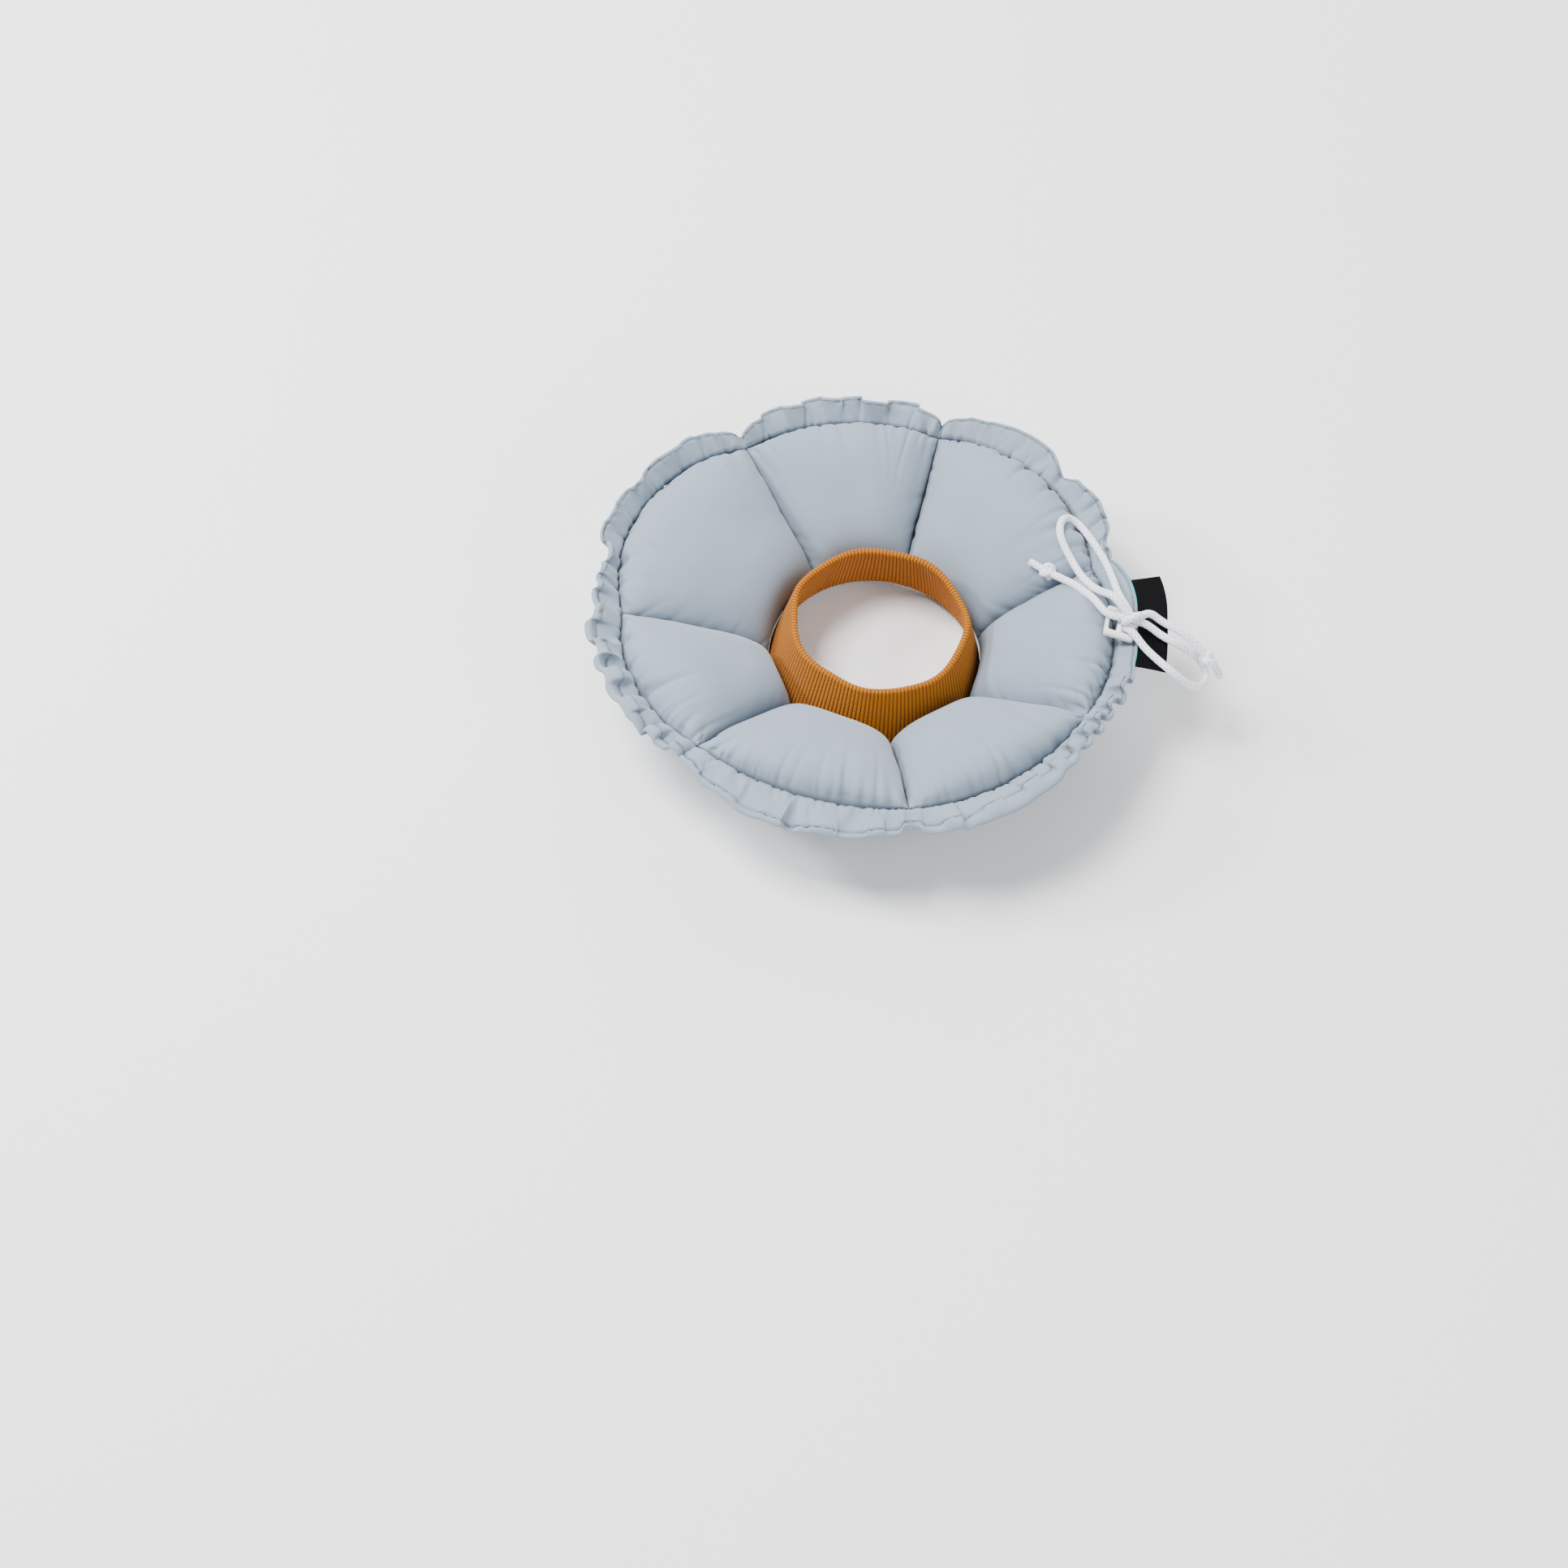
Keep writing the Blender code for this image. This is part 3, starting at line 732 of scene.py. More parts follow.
@dataclass(frozen=True)
class MouldedAcetal:
    """Injection-moulded white acetal: glossy and smooth, with faint scuffs that dull it in patches."""

    name: str = "moulded_white_acetal"
    colour: str = "#EDEBE7"
    scuff_depth: float = 0.05 * MM

    def make(self) -> bpy.types.Material:
        """Build the material: roughness that wanders from 0.22 to 0.4 with a fine scuff noise.

        Returns:
            The material.
        """
        n = NodeTree(self.name)
        scuff = n.noise(scale=420.0, detail=4.0)
        dull = n.add("ShaderNodeMapRange", {"Value": scuff, "To Min": 0.22, "To Max": 0.40})
        n.feed("Roughness", dull.outputs[0])
        n.bump(scuff, 0.15, self.scuff_depth)
        n.shader.inputs["Base Color"].default_value = linear(self.colour)
        n.fix(IOR=1.48)
        return n.material


@dataclass(frozen=True)
class StudioPaper:
    """Matt seamless paper under the collar: pale grey and even."""

    name: str = "matt_studio_paper"
    colour: str = "#F4F4F4"

    def make(self) -> bpy.types.Material:
        """Build the material: one pale grey.

        Returns:
            The material.
        """
        n = NodeTree(self.name)
        n.shader.inputs["Base Color"].default_value = linear(self.colour)
        n.fix(Roughness=0.95, Specular_IOR_Level=0.1)
        return n.material


# ---- the rim's plan, which petals, casing, label and slider share ----


@dataclass(frozen=True)
class RimPlan:
    """Where the petals and the casing meet, from the sizes of the part's source."""

    neck_radius: float = 0.050
    neck_height: float = 0.0075
    cone_rise: float = 0.035
    rim_shift: float = 0.0061
    seam_radius: float = 0.110
    scallop: float = 0.0055
    casing_width: float = 0.016
    casing_wall: float = 0.003
    seam_pinch: float = 0.20

    def rim_height(self) -> float:
        """Height of the sewn line between petals and casing."""
        return self.neck_height + self.cone_rise

    def seam_distance(self, share: np.ndarray, first: PetalPlan, after: PetalPlan) -> np.ndarray:
        """Distance of the casing's seam from the rim's centre.

        A straight change from seam to seam, plus a bow of 1 - |2 share - 1|^2.2.

        Args:
            share: how far across the petal, from 0 to 1.
            first: the petal.
            after: the next petal.

        Returns:
            Distances in metres.
        """
        straight = self.seam_radius * (first.seam + (after.seam - first.seam) * share)
        return straight + self.scallop * first.bow * (1.0 - np.abs(2.0 * share - 1.0) ** 2.2)

    def petal_pair(self, index: int) -> tuple[PetalPlan, PetalPlan, float]:
        """A petal's plan, the next one's, and the turn to add to the next one's angles."""
        after = PETALS[(index + 1) % len(PETALS)]
        return PETALS[index], after, 360.0 if index + 1 == len(PETALS) else 0.0

    def place(self, angle: np.ndarray) -> tuple[np.ndarray, np.ndarray]:
        """Distance of the casing's seam at each angle, and how near each is to a radial seam.

        Args:
            angle: angles round the rim.

        Returns:
            Distances in metres, and shares that are 1 at a radial seam.
        """
        low = math.radians(PETALS[0].rim_deg)
        turned = (angle - low) % (2.0 * math.pi) + low
        distance, pinch = np.zeros_like(turned), np.zeros_like(turned)
        for index in range(len(PETALS)):
            first, after, turn = self.petal_pair(index)
            start, end = math.radians(first.rim_deg), math.radians(after.rim_deg + turn)
            inside = (turned >= start) & (turned < end)
            share = (turned[inside] - start) / (end - start)
            distance[inside] = self.seam_distance(share, first, after)
            pinch[inside] = np.abs(2.0 * share - 1.0) ** 8
        return distance, pinch

    def column(self, name: str, angle: np.ndarray) -> np.ndarray:
        """One value of the casing's plan at each angle, averaged over a few degrees to ease its corners.

        Args:
            name: the plan's field.
            angle: angles round the rim.

        Returns:
            The field's value at each angle.
        """
        degrees = np.array([row.rim_deg for row in CASING], float)
        values = np.array([getattr(row, name) for row in CASING], float)
        reads = (np.degrees(angle) + shift for shift in (-2.0, 0.0, 2.0))
        return np.mean([np.interp(read, degrees, values, period=360.0) for read in reads], axis=0)

    def casing_frame(self, angle: np.ndarray) -> tuple[np.ndarray, np.ndarray, np.ndarray, np.ndarray]:
        """Start of the casing's lower face at each angle, its outward and upright directions and width.

        Args:
            angle: angles round the rim.

        Returns:
            Points, two unit directions at each, and widths in metres.
        """
        distance, pinch = self.place(angle)
        slope = np.radians(self.column("slope_deg", angle))
        radial = np.stack([np.cos(angle), np.sin(angle), np.zeros_like(angle)], -1)
        rise = np.array([0.0, 0.0, 1.0])
        start = distance[..., None] * radial + np.array([-self.rim_shift, 0.0, self.rim_height()])
        outward = np.cos(slope)[..., None] * radial + np.sin(slope)[..., None] * rise
        upright = np.cos(slope)[..., None] * rise - np.sin(slope)[..., None] * radial
        width = self.casing_width * self.column("width", angle) * (1.0 - self.seam_pinch * pinch)
        return start, outward, upright, width


@dataclass(frozen=True)
class Petals:
    """Seven stuffed petals of one cloth, each pulled in along its seams."""

    plan: RimPlan
    top_loft: float = 0.0222
    under_loft: float = 0.0203
    top_lean: float = math.radians(16)
    under_lean: float = math.radians(30)
    top_blunt: float = 2.6
    under_blunt: float = 3.8
    roundness: float = 2.3
    crest: float = 0.35
    across_steps: int = 150
    along_steps: int = 120
    rim_creases: Creases = Creases(5.6 * MM, 1.5 * MM, 1.0 * MM, 19.0 * MM, 0.16, 11)
    fine_creases: Creases = Creases(3.0 * MM, 0.7 * MM, 0.6 * MM, 9.0 * MM, 0.15, 37)
    seam_creases: Creases = Creases(8.5 * MM, 0.9 * MM, 1.3 * MM, 11.0 * MM, 0.4, 23)
    dents: tuple[tuple[float, float, int], ...] = ((21.0 * MM, 0.55 * MM, 0), (9.0 * MM, 0.14 * MM, 7))
    held: float = 1.6 * MM
    # sewn: width of the dark sewn line and painted seam shade along each petal's seams.
    sewn: float = 0.9 * MM
    fill: float = 0.85

    def loft(self, across: np.ndarray, along: np.ndarray, bluntness: float) -> np.ndarray:
        """Share of the filling's height: superellipse quarters across, to the neck and to the rim.

        Args:
            across: from -1 to 1, from one radial seam to the other.
            along: from 0 at the neck to 1 at the rim.
            bluntness: the power of the quarter at the rim.

        Returns:
            Shares from 0 at the seams to 1 at the crest.
        """
        power = self.roundness
        side = (1.0 - np.abs(across) ** power) ** (1.0 / power)
        to_neck = np.clip((self.crest - along) / self.crest, 0.0, 1.0)
        to_rim = np.clip((along - self.crest) / (1.0 - self.crest), 0.0, 1.0)
        neck_end = (1.0 - to_neck**power) ** (1.0 / power)
        return side * neck_end * (1.0 - to_rim**bluntness) ** (1.0 / bluntness)

    def surface(self, index: int, across: np.ndarray, along: np.ndarray, side: Side) -> np.ndarray:
        """Points of one cloth of a petal: its middle sheet, raised or lowered by the filling.

        Args:
            index: which petal.
            across: from -1 to 1, from one radial seam to the other.
            along: from 0 at the neck to 1 at the casing's seam.
            side: upper or lower cloth.

        Returns:
            Points in the shape of the grid.
        """
        first, after, turn = self.plan.petal_pair(index)
        share = 0.5 + 0.5 * across
        neck = np.radians(first.neck_deg + (after.neck_deg + turn - first.neck_deg) * share)
        rim = np.radians(first.rim_deg + (after.rim_deg + turn - first.rim_deg) * share)
        distance = self.plan.seam_distance(share, first, after)
        inner = self.plan.neck_radius * np.stack([np.cos(neck), np.sin(neck)], -1)
        outer = distance[..., None] * np.stack([np.cos(rim), np.sin(rim)], -1)
        outer[..., 0] -= self.plan.rim_shift
        flat = inner + (outer - inner) * along[..., None]
        height = self.plan.neck_height + self.plan.cone_rise * along
        if side is Side.UPPER:
            depth, lean, blunt = self.top_loft, self.top_lean, self.top_blunt
        else:
            depth, lean, blunt = -self.under_loft, self.under_lean, self.under_blunt
        loft = depth * first.loft * self.loft(across, along, blunt)
        flat = flat - (loft * math.sin(lean))[..., None] * unit(flat)
        return np.concatenate([flat, (height + loft * math.cos(lean))[..., None]], -1)

    def pulled(self, index: int, across: np.ndarray, along: np.ndarray, side: Side) -> np.ndarray:
        """The cloth with its creases and soft dents, worked along the cloth's own normals.

        Args:
            index: which petal.
            across: from -1 to 1, from one radial seam to the other.
            along: from 0 at the neck to 1 at the casing's seam.
            side: upper or lower cloth.

        Returns:
            Points in the shape of the grid.
        """
        points = self.surface(index, across, along, side)
        normal = normals_of(points)
        normal *= np.sign(normal[..., 2:3].mean()) * side.value
        first, after, turn = self.plan.petal_pair(index)
        span = math.radians(after.rim_deg + turn - first.rim_deg)
        from_neck, from_rim, from_seam = self.distances(points)
        length = float(from_rim.max())
        round_rim = 0.5 * (across + 1.0) * span * self.plan.seam_radius
        down_seam = from_neck + np.where(across < 0, 0.0, 3.0 * length)
        seeds = (index + 1) * 101 + side.value
        relief = np.zeros_like(across)
        for style, line, away, total in (
            (self.rim_creases, round_rim, from_rim, span * self.plan.seam_radius),
            (self.fine_creases, round_rim, from_rim, span * self.plan.seam_radius),
            (self.seam_creases, down_seam, from_seam, 4.0 * length),
        ):
            own = replace(style, seed=style.seed + seeds)
            relief += first.pull * own.relief(line, away, total)
        for tuck in TUCKS if side is Side.UPPER else ():
            place = math.radians((tuck.rim_deg - first.rim_deg) % 360.0) * self.plan.seam_radius
            wide = tuck.width * MM * (1.0 + 0.5 * from_rim / (tuck.reach * MM))
            offset = (round_rim - place - tuck.lean * from_rim) / wide
            relief -= tuck.depth * MM * np.exp(-(offset**2) - (from_rim / (tuck.reach * MM)) ** 1.6)
        for pitch, depth, shift in self.dents:
            relief += depth * soft_relief(points[..., 0] / pitch, points[..., 1] / pitch, seeds + shift)
        edge = np.minimum(from_rim, np.minimum(from_seam, from_neck))
        return points + normal * (relief * (1.0 - bell(edge / self.held)))[..., None]

    @staticmethod
    def distances(points: np.ndarray) -> tuple[np.ndarray, np.ndarray, np.ndarray]:
        """Distances over the cloth from a petal's neck end, its rim seam and its nearer radial seam.

        Each adds up the steps between neighbours in the grid.

        Args:
            points: the cloth's points, across by along.

        Returns:
            The three distances at each point.
        """
        down = np.linalg.norm(np.diff(points, axis=1), axis=-1)
        over = np.linalg.norm(np.diff(points, axis=0), axis=-1)
        from_neck = np.pad(np.cumsum(down, axis=1), ((0, 0), (1, 0)))
        from_side = np.pad(np.cumsum(over, axis=0), ((1, 0), (0, 0)))
        from_seam = np.minimum(from_side, from_side[-1:] - from_side)
        return from_neck, from_neck[:, -1:] - from_neck, from_seam

    def build(self, cloth: bpy.types.Material) -> None:
        """Make the seven petals, each one closed shell that is flat where it rests.

        Args:
            cloth: the petals' material.
        """
        ease = math.radians(80)
        across = np.sin(ease * np.linspace(-1, 1, self.across_steps + 1)) / math.sin(ease)
        along = 0.5 + 0.5 * np.sin(ease * np.linspace(-1, 1, self.along_steps + 1)) / math.sin(ease)
        across[[0, -1]], along[[0, -1]] = (-1.0, 1.0), (0.0, 1.0)
        across, along = np.meshgrid(across, along, indexing="ij")
        rows, columns = across.shape
        quads = grid_faces(rows, columns, False, False)
        for index in range(len(PETALS)):
            top = self.pulled(index, across, along, Side.UPPER)
            under = self.pulled(index, across, along, Side.LOWER)
            under[..., 2] = np.maximum(under[..., 2], 0.0)
            points = np.concatenate([top.reshape(-1, 3), under.reshape(-1, 3)])
            faces = np.concatenate([quads, quads[:, ::-1] + rows * columns])
            sheet = np.stack([across * 0.045, along * 0.085], -1).reshape(-1, 2)
            maps = np.concatenate([sheet, sheet + 0.2])
            name = f"petal_{index + 1}"
            # Painted shade: nearness to the rim seam and the radial seams, for the cloth's dark sewn line
            # and the shade in the seam's groove.
            edges = [np.minimum(*self.distances(layer)[1:]) for layer in (top, under)]
            sewn = bell(np.stack(edges) / self.sewn)
            petal = make_mesh(f"{name}_cushion", points, faces, maps, seam=sewn)
            dress(petal, cloth, "poplin", name)


@dataclass(frozen=True)
class Casing:
    """Gathered double band that holds the drawstring, with its two rows of stitches."""

    plan: RimPlan
    stations: int = 1800
    steps: int = 23
    seam_inset: float = 0.75 * MM
    droop_radius: float = 11.0 * MM
    inner_creases: Creases = Creases(3.7 * MM, 1.5 * MM, 0.75 * MM, 5.0 * MM, 0.45, 5)
    outer_creases: Creases = Creases(4.3 * MM, 1.3 * MM, 0.75 * MM, 4.0 * MM, 0.55, 6)
    long_creases: Creases = Creases(10.0 * MM, 1.5 * MM, 1.20 * MM, 14.0 * MM, 0.60, 8)
    stitch: float = 2.7 * MM
    stitch_gap: float = 0.8 * MM
    thread: float = 0.22 * MM
    full_gather: float = 2.4
    flop: float = 1.9 * MM
    overlap: float = 0.80
    swing: float = 0.7
    shoulder: float = 0.35
    facing_share: float = 0.45

    def phase(self, angle: np.ndarray) -> tuple[np.ndarray, np.ndarray]:
        """Phase of the gathers, which adds up the plan's spacing round the rim, and the spacing itself.

        Args:
            angle: round the rim.

        Returns:
            Phases in radians, a whole number of turns round the rim, and spacings in metres.
        """
        table = np.linspace(0.0, 2.0 * math.pi, 1441)
        uneven = 1.0 + 0.30 * value_noise(table * 22 / math.pi, 41, 44)
        rate = self.plan.seam_radius / (self.plan.column("spacing", table) * MM * uneven)
        total = np.concatenate([[0.0], np.cumsum(0.5 * (rate[1:] + rate[:-1]) * np.diff(table))])
        turns = round(total[-1])
        scale = turns / total[-1]
        turned = angle % (2.0 * math.pi)
        phase = 2.0 * math.pi * scale * np.interp(turned, table, total)
        return phase, self.plan.seam_radius / (scale * np.interp(turned, table, rate))

    def surface(self, angle: np.ndarray, share: np.ndarray, level: np.ndarray) -> np.ndarray:
        """Points on or inside the band.

        The middle sheet meanders as gathered cloth does: up by sin(phase) and along the rim by
        -sin(2 phase), so deep gathers fold over on themselves. Both grow to the perimeter seam and
        ease off past it, where the cloth droops in a smooth roll. Pinches cut sharp valleys across
        and pull the free edge in. The two layers bulge between the sewn lines, and creases pull
        them in beside both lines.

        Args:
            angle: round the rim.
            share: 0 at the casing's seam and 1 at its free edge.
            level: 1 on the upper face, -1 on the lower one.

        Returns:
            Points in the shape of the inputs.
        """
        start, outward, upright, width = self.plan.casing_frame(angle)
        around = np.cross(upright, outward)
        length = 2.0 * math.pi * self.plan.seam_radius
        turned = angle % (2.0 * math.pi)
        travel = turned * self.plan.seam_radius
        hem = self.plan.column("hem", angle) * MM
        valley, pulled = np.zeros_like(angle), np.zeros_like(angle)
        for pinch in PINCHES:
            offset = (turned - math.radians(pinch.rim_deg) + math.pi) % (2.0 * math.pi) - math.pi
            offset = offset * self.plan.seam_radius / (pinch.width * MM)
            shoulders = self.shoulder * bell(np.abs(offset) - 1.9)
            valley -= pinch.depth * MM * (bell(offset) - shoulders)
            pulled += pinch.pull * MM * bell(offset / 1.8)
        phase, spacing = self.phase(angle)
        gather = self.plan.column("gather", angle)
        at_edge = self.plan.column("at_edge", angle)
        fold = np.clip(gather / self.full_gather, 0.0, 1.0)
        flop = self.flop * fold * at_edge * (0.5 + 0.5 * np.sin(phase + 0.9))
        away = share * (width - (pulled + flop) * share)
        to_hem = width - hem - away
        inside = np.clip(away / np.maximum(width - hem, MM), 0.0, 1.0)
        ease = eased(np.clip(-to_hem / hem, 0.0, 1.0))
        keep = inside**1.2 * (1.0 - (1.0 - at_edge) * ease)
        uneven = 0.8 + 0.45 * value_noise(angle * 15 / math.pi, 71, 30)
        phase = phase + self.swing * value_noise(angle * 9.0 / math.pi, 72, 18) * share
        wave = gather * MM * uneven * keep * np.sin(phase)
        shift = -self.overlap * fold * keep * spacing / (2.0 * math.pi) * np.sin(2.0 * phase)
        calm = 0.10 + 0.90 * np.clip(gather, 0.0, 1.0)
        relief = self.inner_creases.relief(travel, away, length)
        relief += self.outer_creases.relief(travel, np.abs(to_hem), length) * (1.0 - 0.7 * ease)
        relief += self.long_creases.relief(travel, away, length) * (1.0 - 0.5 * ease)
        to_edge = np.clip((1.0 - share) / 0.10, 0.0, 1.0)
        relief *= calm * to_edge
        sewn_in = 0.75 * bell(away / (1.1 * MM)) + 0.50 * bell(to_hem / (0.60 * MM))
        half = 0.5 * self.plan.casing_wall * (1.0 - sewn_in)
        half = half * (0.55 * np.sqrt(np.clip(1.0 - (1.0 - to_edge) ** 2, 0.0, 1.0)) + 0.45 * to_edge)
        middle = 0.5 * self.plan.casing_wall * np.clip(away / (3.0 * MM), 0.0, 1.0) + wave
        middle = middle + valley * inside**0.7 * (1.0 - 0.35 * ease)
        middle = middle - np.maximum(-to_hem, 0.0) ** 2 / (2.0 * self.droop_radius)
        middle = middle + relief * (1.0 - self.facing_share)
        height = middle + level * half + relief * self.facing_share * (level > 0)
        return start + outward * away[..., None] + upright * height[..., None] + around * shift[..., None]

    def build(self, cloth: bpy.types.Material, thread: bpy.types.Material) -> None:
        """Make the band as one closed ring, and sew its two rows of stitches.

        Args:
            cloth: the band's material.
            thread: the stitches' material.
        """
        angle = turns_of(self.stations)
        share = 0.5 - 0.5 * np.cos(np.linspace(0.0, math.pi, self.steps))
        share = 0.35 * share + 0.65 * np.linspace(0.0, 1.0, self.steps)
        loop = np.concatenate([share, share[-2::-1]])
        level = np.concatenate([np.ones(self.steps), -np.ones(self.steps - 1)])
        angle_grid, share_grid = np.meshgrid(angle, loop, indexing="ij")
        level_grid = np.broadcast_to(level, angle_grid.shape)
        points = self.surface(angle_grid, share_grid, level_grid)
        run = np.concatenate([share, 2.0 - share[-2::-1]]) * self.plan.casing_width
        maps = np.stack([angle_grid * self.plan.seam_radius, np.broadcast_to(run, angle_grid.shape)], -1)
        faces = grid_faces(self.stations, len(loop), True, True)
        band = make_mesh("rim_casing_gathered", points, faces, maps)
        # Painted shade: nearness to the casing's seam and to its hem row, for the cloth's dark sewn lines
        # and the shade in their grooves.
        width = self.plan.casing_frame(angle_grid)[3]
        hem = self.plan.column("hem", angle_grid) * MM
        away = share_grid * width
        hem_line_and_shade = 0.8 * bell((width - hem - away) / (0.45 * MM))
        store(band.data, "seam", np.maximum(bell(away / (0.8 * MM)), hem_line_and_shade))
        dress(band, cloth, "poplin", "rim_casing")
        for name, inset in (("casing_seam_stitches", self.seam_inset), ("casing_hem_stitches", None)):
            dress(self.stitches(name, inset), thread, "poplin")

    def stitches(self, name: str, inset: float | None) -> bpy.types.Object:
        """A row of lock stitches round the band: each a short bent bead of thread let into the cloth.

        Args:
            name: the row's name.
            inset: distance from the casing's seam, or None for the row beside the free edge.

        Returns:
            The row as one mesh.
        """
        edge = self.plan.seam_radius + self.plan.casing_width
        count = round(2.0 * math.pi * edge / self.stitch)
        sides, rings = 6, 5
        half = 0.5 * (self.stitch - self.stitch_gap) / edge
        along = np.linspace(-1.0, 1.0, rings)
        angle = turns_of(count)[:, None] + half * along
        width = self.plan.casing_frame(angle)[3]
        hem = self.plan.column("hem", angle) * MM
        share = (width - hem) / width if inset is None else inset / width
        points = self.surface(angle, share, np.ones_like(angle))
        beyond = self.surface(angle, share + 0.02, np.ones_like(angle))
        tangent = unit(np.gradient(points, axis=1))
        side = beyond - points
        side = unit(side - (side * tangent).sum(-1, keepdims=True) * tangent)
        up = np.cross(tangent, side)
        up *= np.sign(up[..., 2:3])
        girth = self.thread * np.sqrt(np.clip(1.0 - 0.92 * along**2, 0.0, 1.0))
        sunk = self.thread * (0.75 - 1.1 * along**2)
        centre = points + up * sunk[None, :, None]
        ring = circles(turns_of(sides), side, up)
        tube = centre[:, :, None] + girth[None, :, None, None] * ring
        base = grid_faces(rings, sides, False, True)
        caps = np.array([[0, 1, 2, 3], [0, 3, 4, 5]])
        base = np.concatenate([base, caps, caps + (rings - 1) * sides])
        faces = (base[None] + (np.arange(count) * rings * sides)[:, None, None]).reshape(-1, 4)
        return make_mesh(name, tube.reshape(-1, 3), faces)


@dataclass(frozen=True)
class Cuff:
    """Rib-knit tube, folded over at its top, that narrows upwards from the petals."""

    plan: RimPlan
    height: float = 0.030
    hem: float = 0.002
    top_radius: float = 0.0415
    wall: float = 0.003
    ribs: int = 150
    rib_depth: float = 0.50 * MM
    steps_per_rib: int = 8
    course: float = 1.35 * MM
    rib_power: float = 0.6
    sway: float = 0.5 * MM
    dip: float = 0.7 * MM

    def build(self, knit: bpy.types.Material) -> None:
        """Make the tube as one closed ring of ribs.

        The profile runs up the outside, over a rounded fold and down the inside. Ribs stand out of it
        by a depth times |cos|^0.6 of half their phase, and the tube's top sways a little in and out.

        Args:
            knit: the tube's material.
        """
        low = self.plan.neck_height - self.hem
        top = self.plan.neck_height + self.height
        base = self.plan.neck_radius - 0.6 * MM
        half = 0.5 * self.wall
        rise = np.linspace(0.0, 1.0, 26)
        fold = np.linspace(0.0, math.pi, 9)[1:-1]
        outer = np.stack([base + (self.top_radius - base) * rise, low + (top - half - low) * rise], -1)
        over = np.array([self.top_radius - half, top - half])
        over = over + half * np.stack([np.cos(fold), np.sin(fold)], -1)
        inner = np.stack([outer[::-1, 0] - self.wall, outer[::-1, 1]], -1)
        profile = np.concatenate([outer, over, inner])
        step = np.roll(profile, -1, 0) - np.roll(profile, 1, 0)
        facing = unit(np.stack([step[:, 1], -step[:, 0]], -1))
        run = run_of(profile)
        count = self.ribs * self.steps_per_rib
        angle = turns_of(count)
        wander = 0.35 * value_noise(angle * 12 / math.pi, 5, 24)[:, None] * (run / run[-1])[None]
        phase = self.ribs * angle[:, None] * 0.5 + 0.5 * wander
        ridge = self.rib_depth * (np.abs(np.cos(phase)) ** self.rib_power - 0.6)
        share = np.clip((profile[:, 1] - low) / (top - low), 0.0, 1.0)[None]
        sway = np.sin(7.0 * angle + 0.6) + value_noise(angle * 8 / math.pi, 9, 16)
        sway = self.sway * sway[:, None]
        drop = self.dip * value_noise(angle * 6 / math.pi, 17, 12)[:, None] * share
        radius = profile[None, :, 0] + facing[None, :, 0] * ridge + sway * share**1.5
        height = profile[None, :, 1] + facing[None, :, 1] * ridge + drop
        points = np.stack([radius * np.cos(angle)[:, None], radius * np.sin(angle)[:, None], height], -1)
        turns = np.broadcast_to((self.ribs * angle / (2.0 * math.pi))[:, None] + 0.5, radius.shape)
        maps = np.stack([turns, np.broadcast_to(run / self.course, radius.shape)], -1)
        cuff = make_mesh("neck_cuff_ribs", points, grid_faces(count, len(profile), True, True), maps)
        dress(cuff, knit, "rib_knit", "neck_cuff")


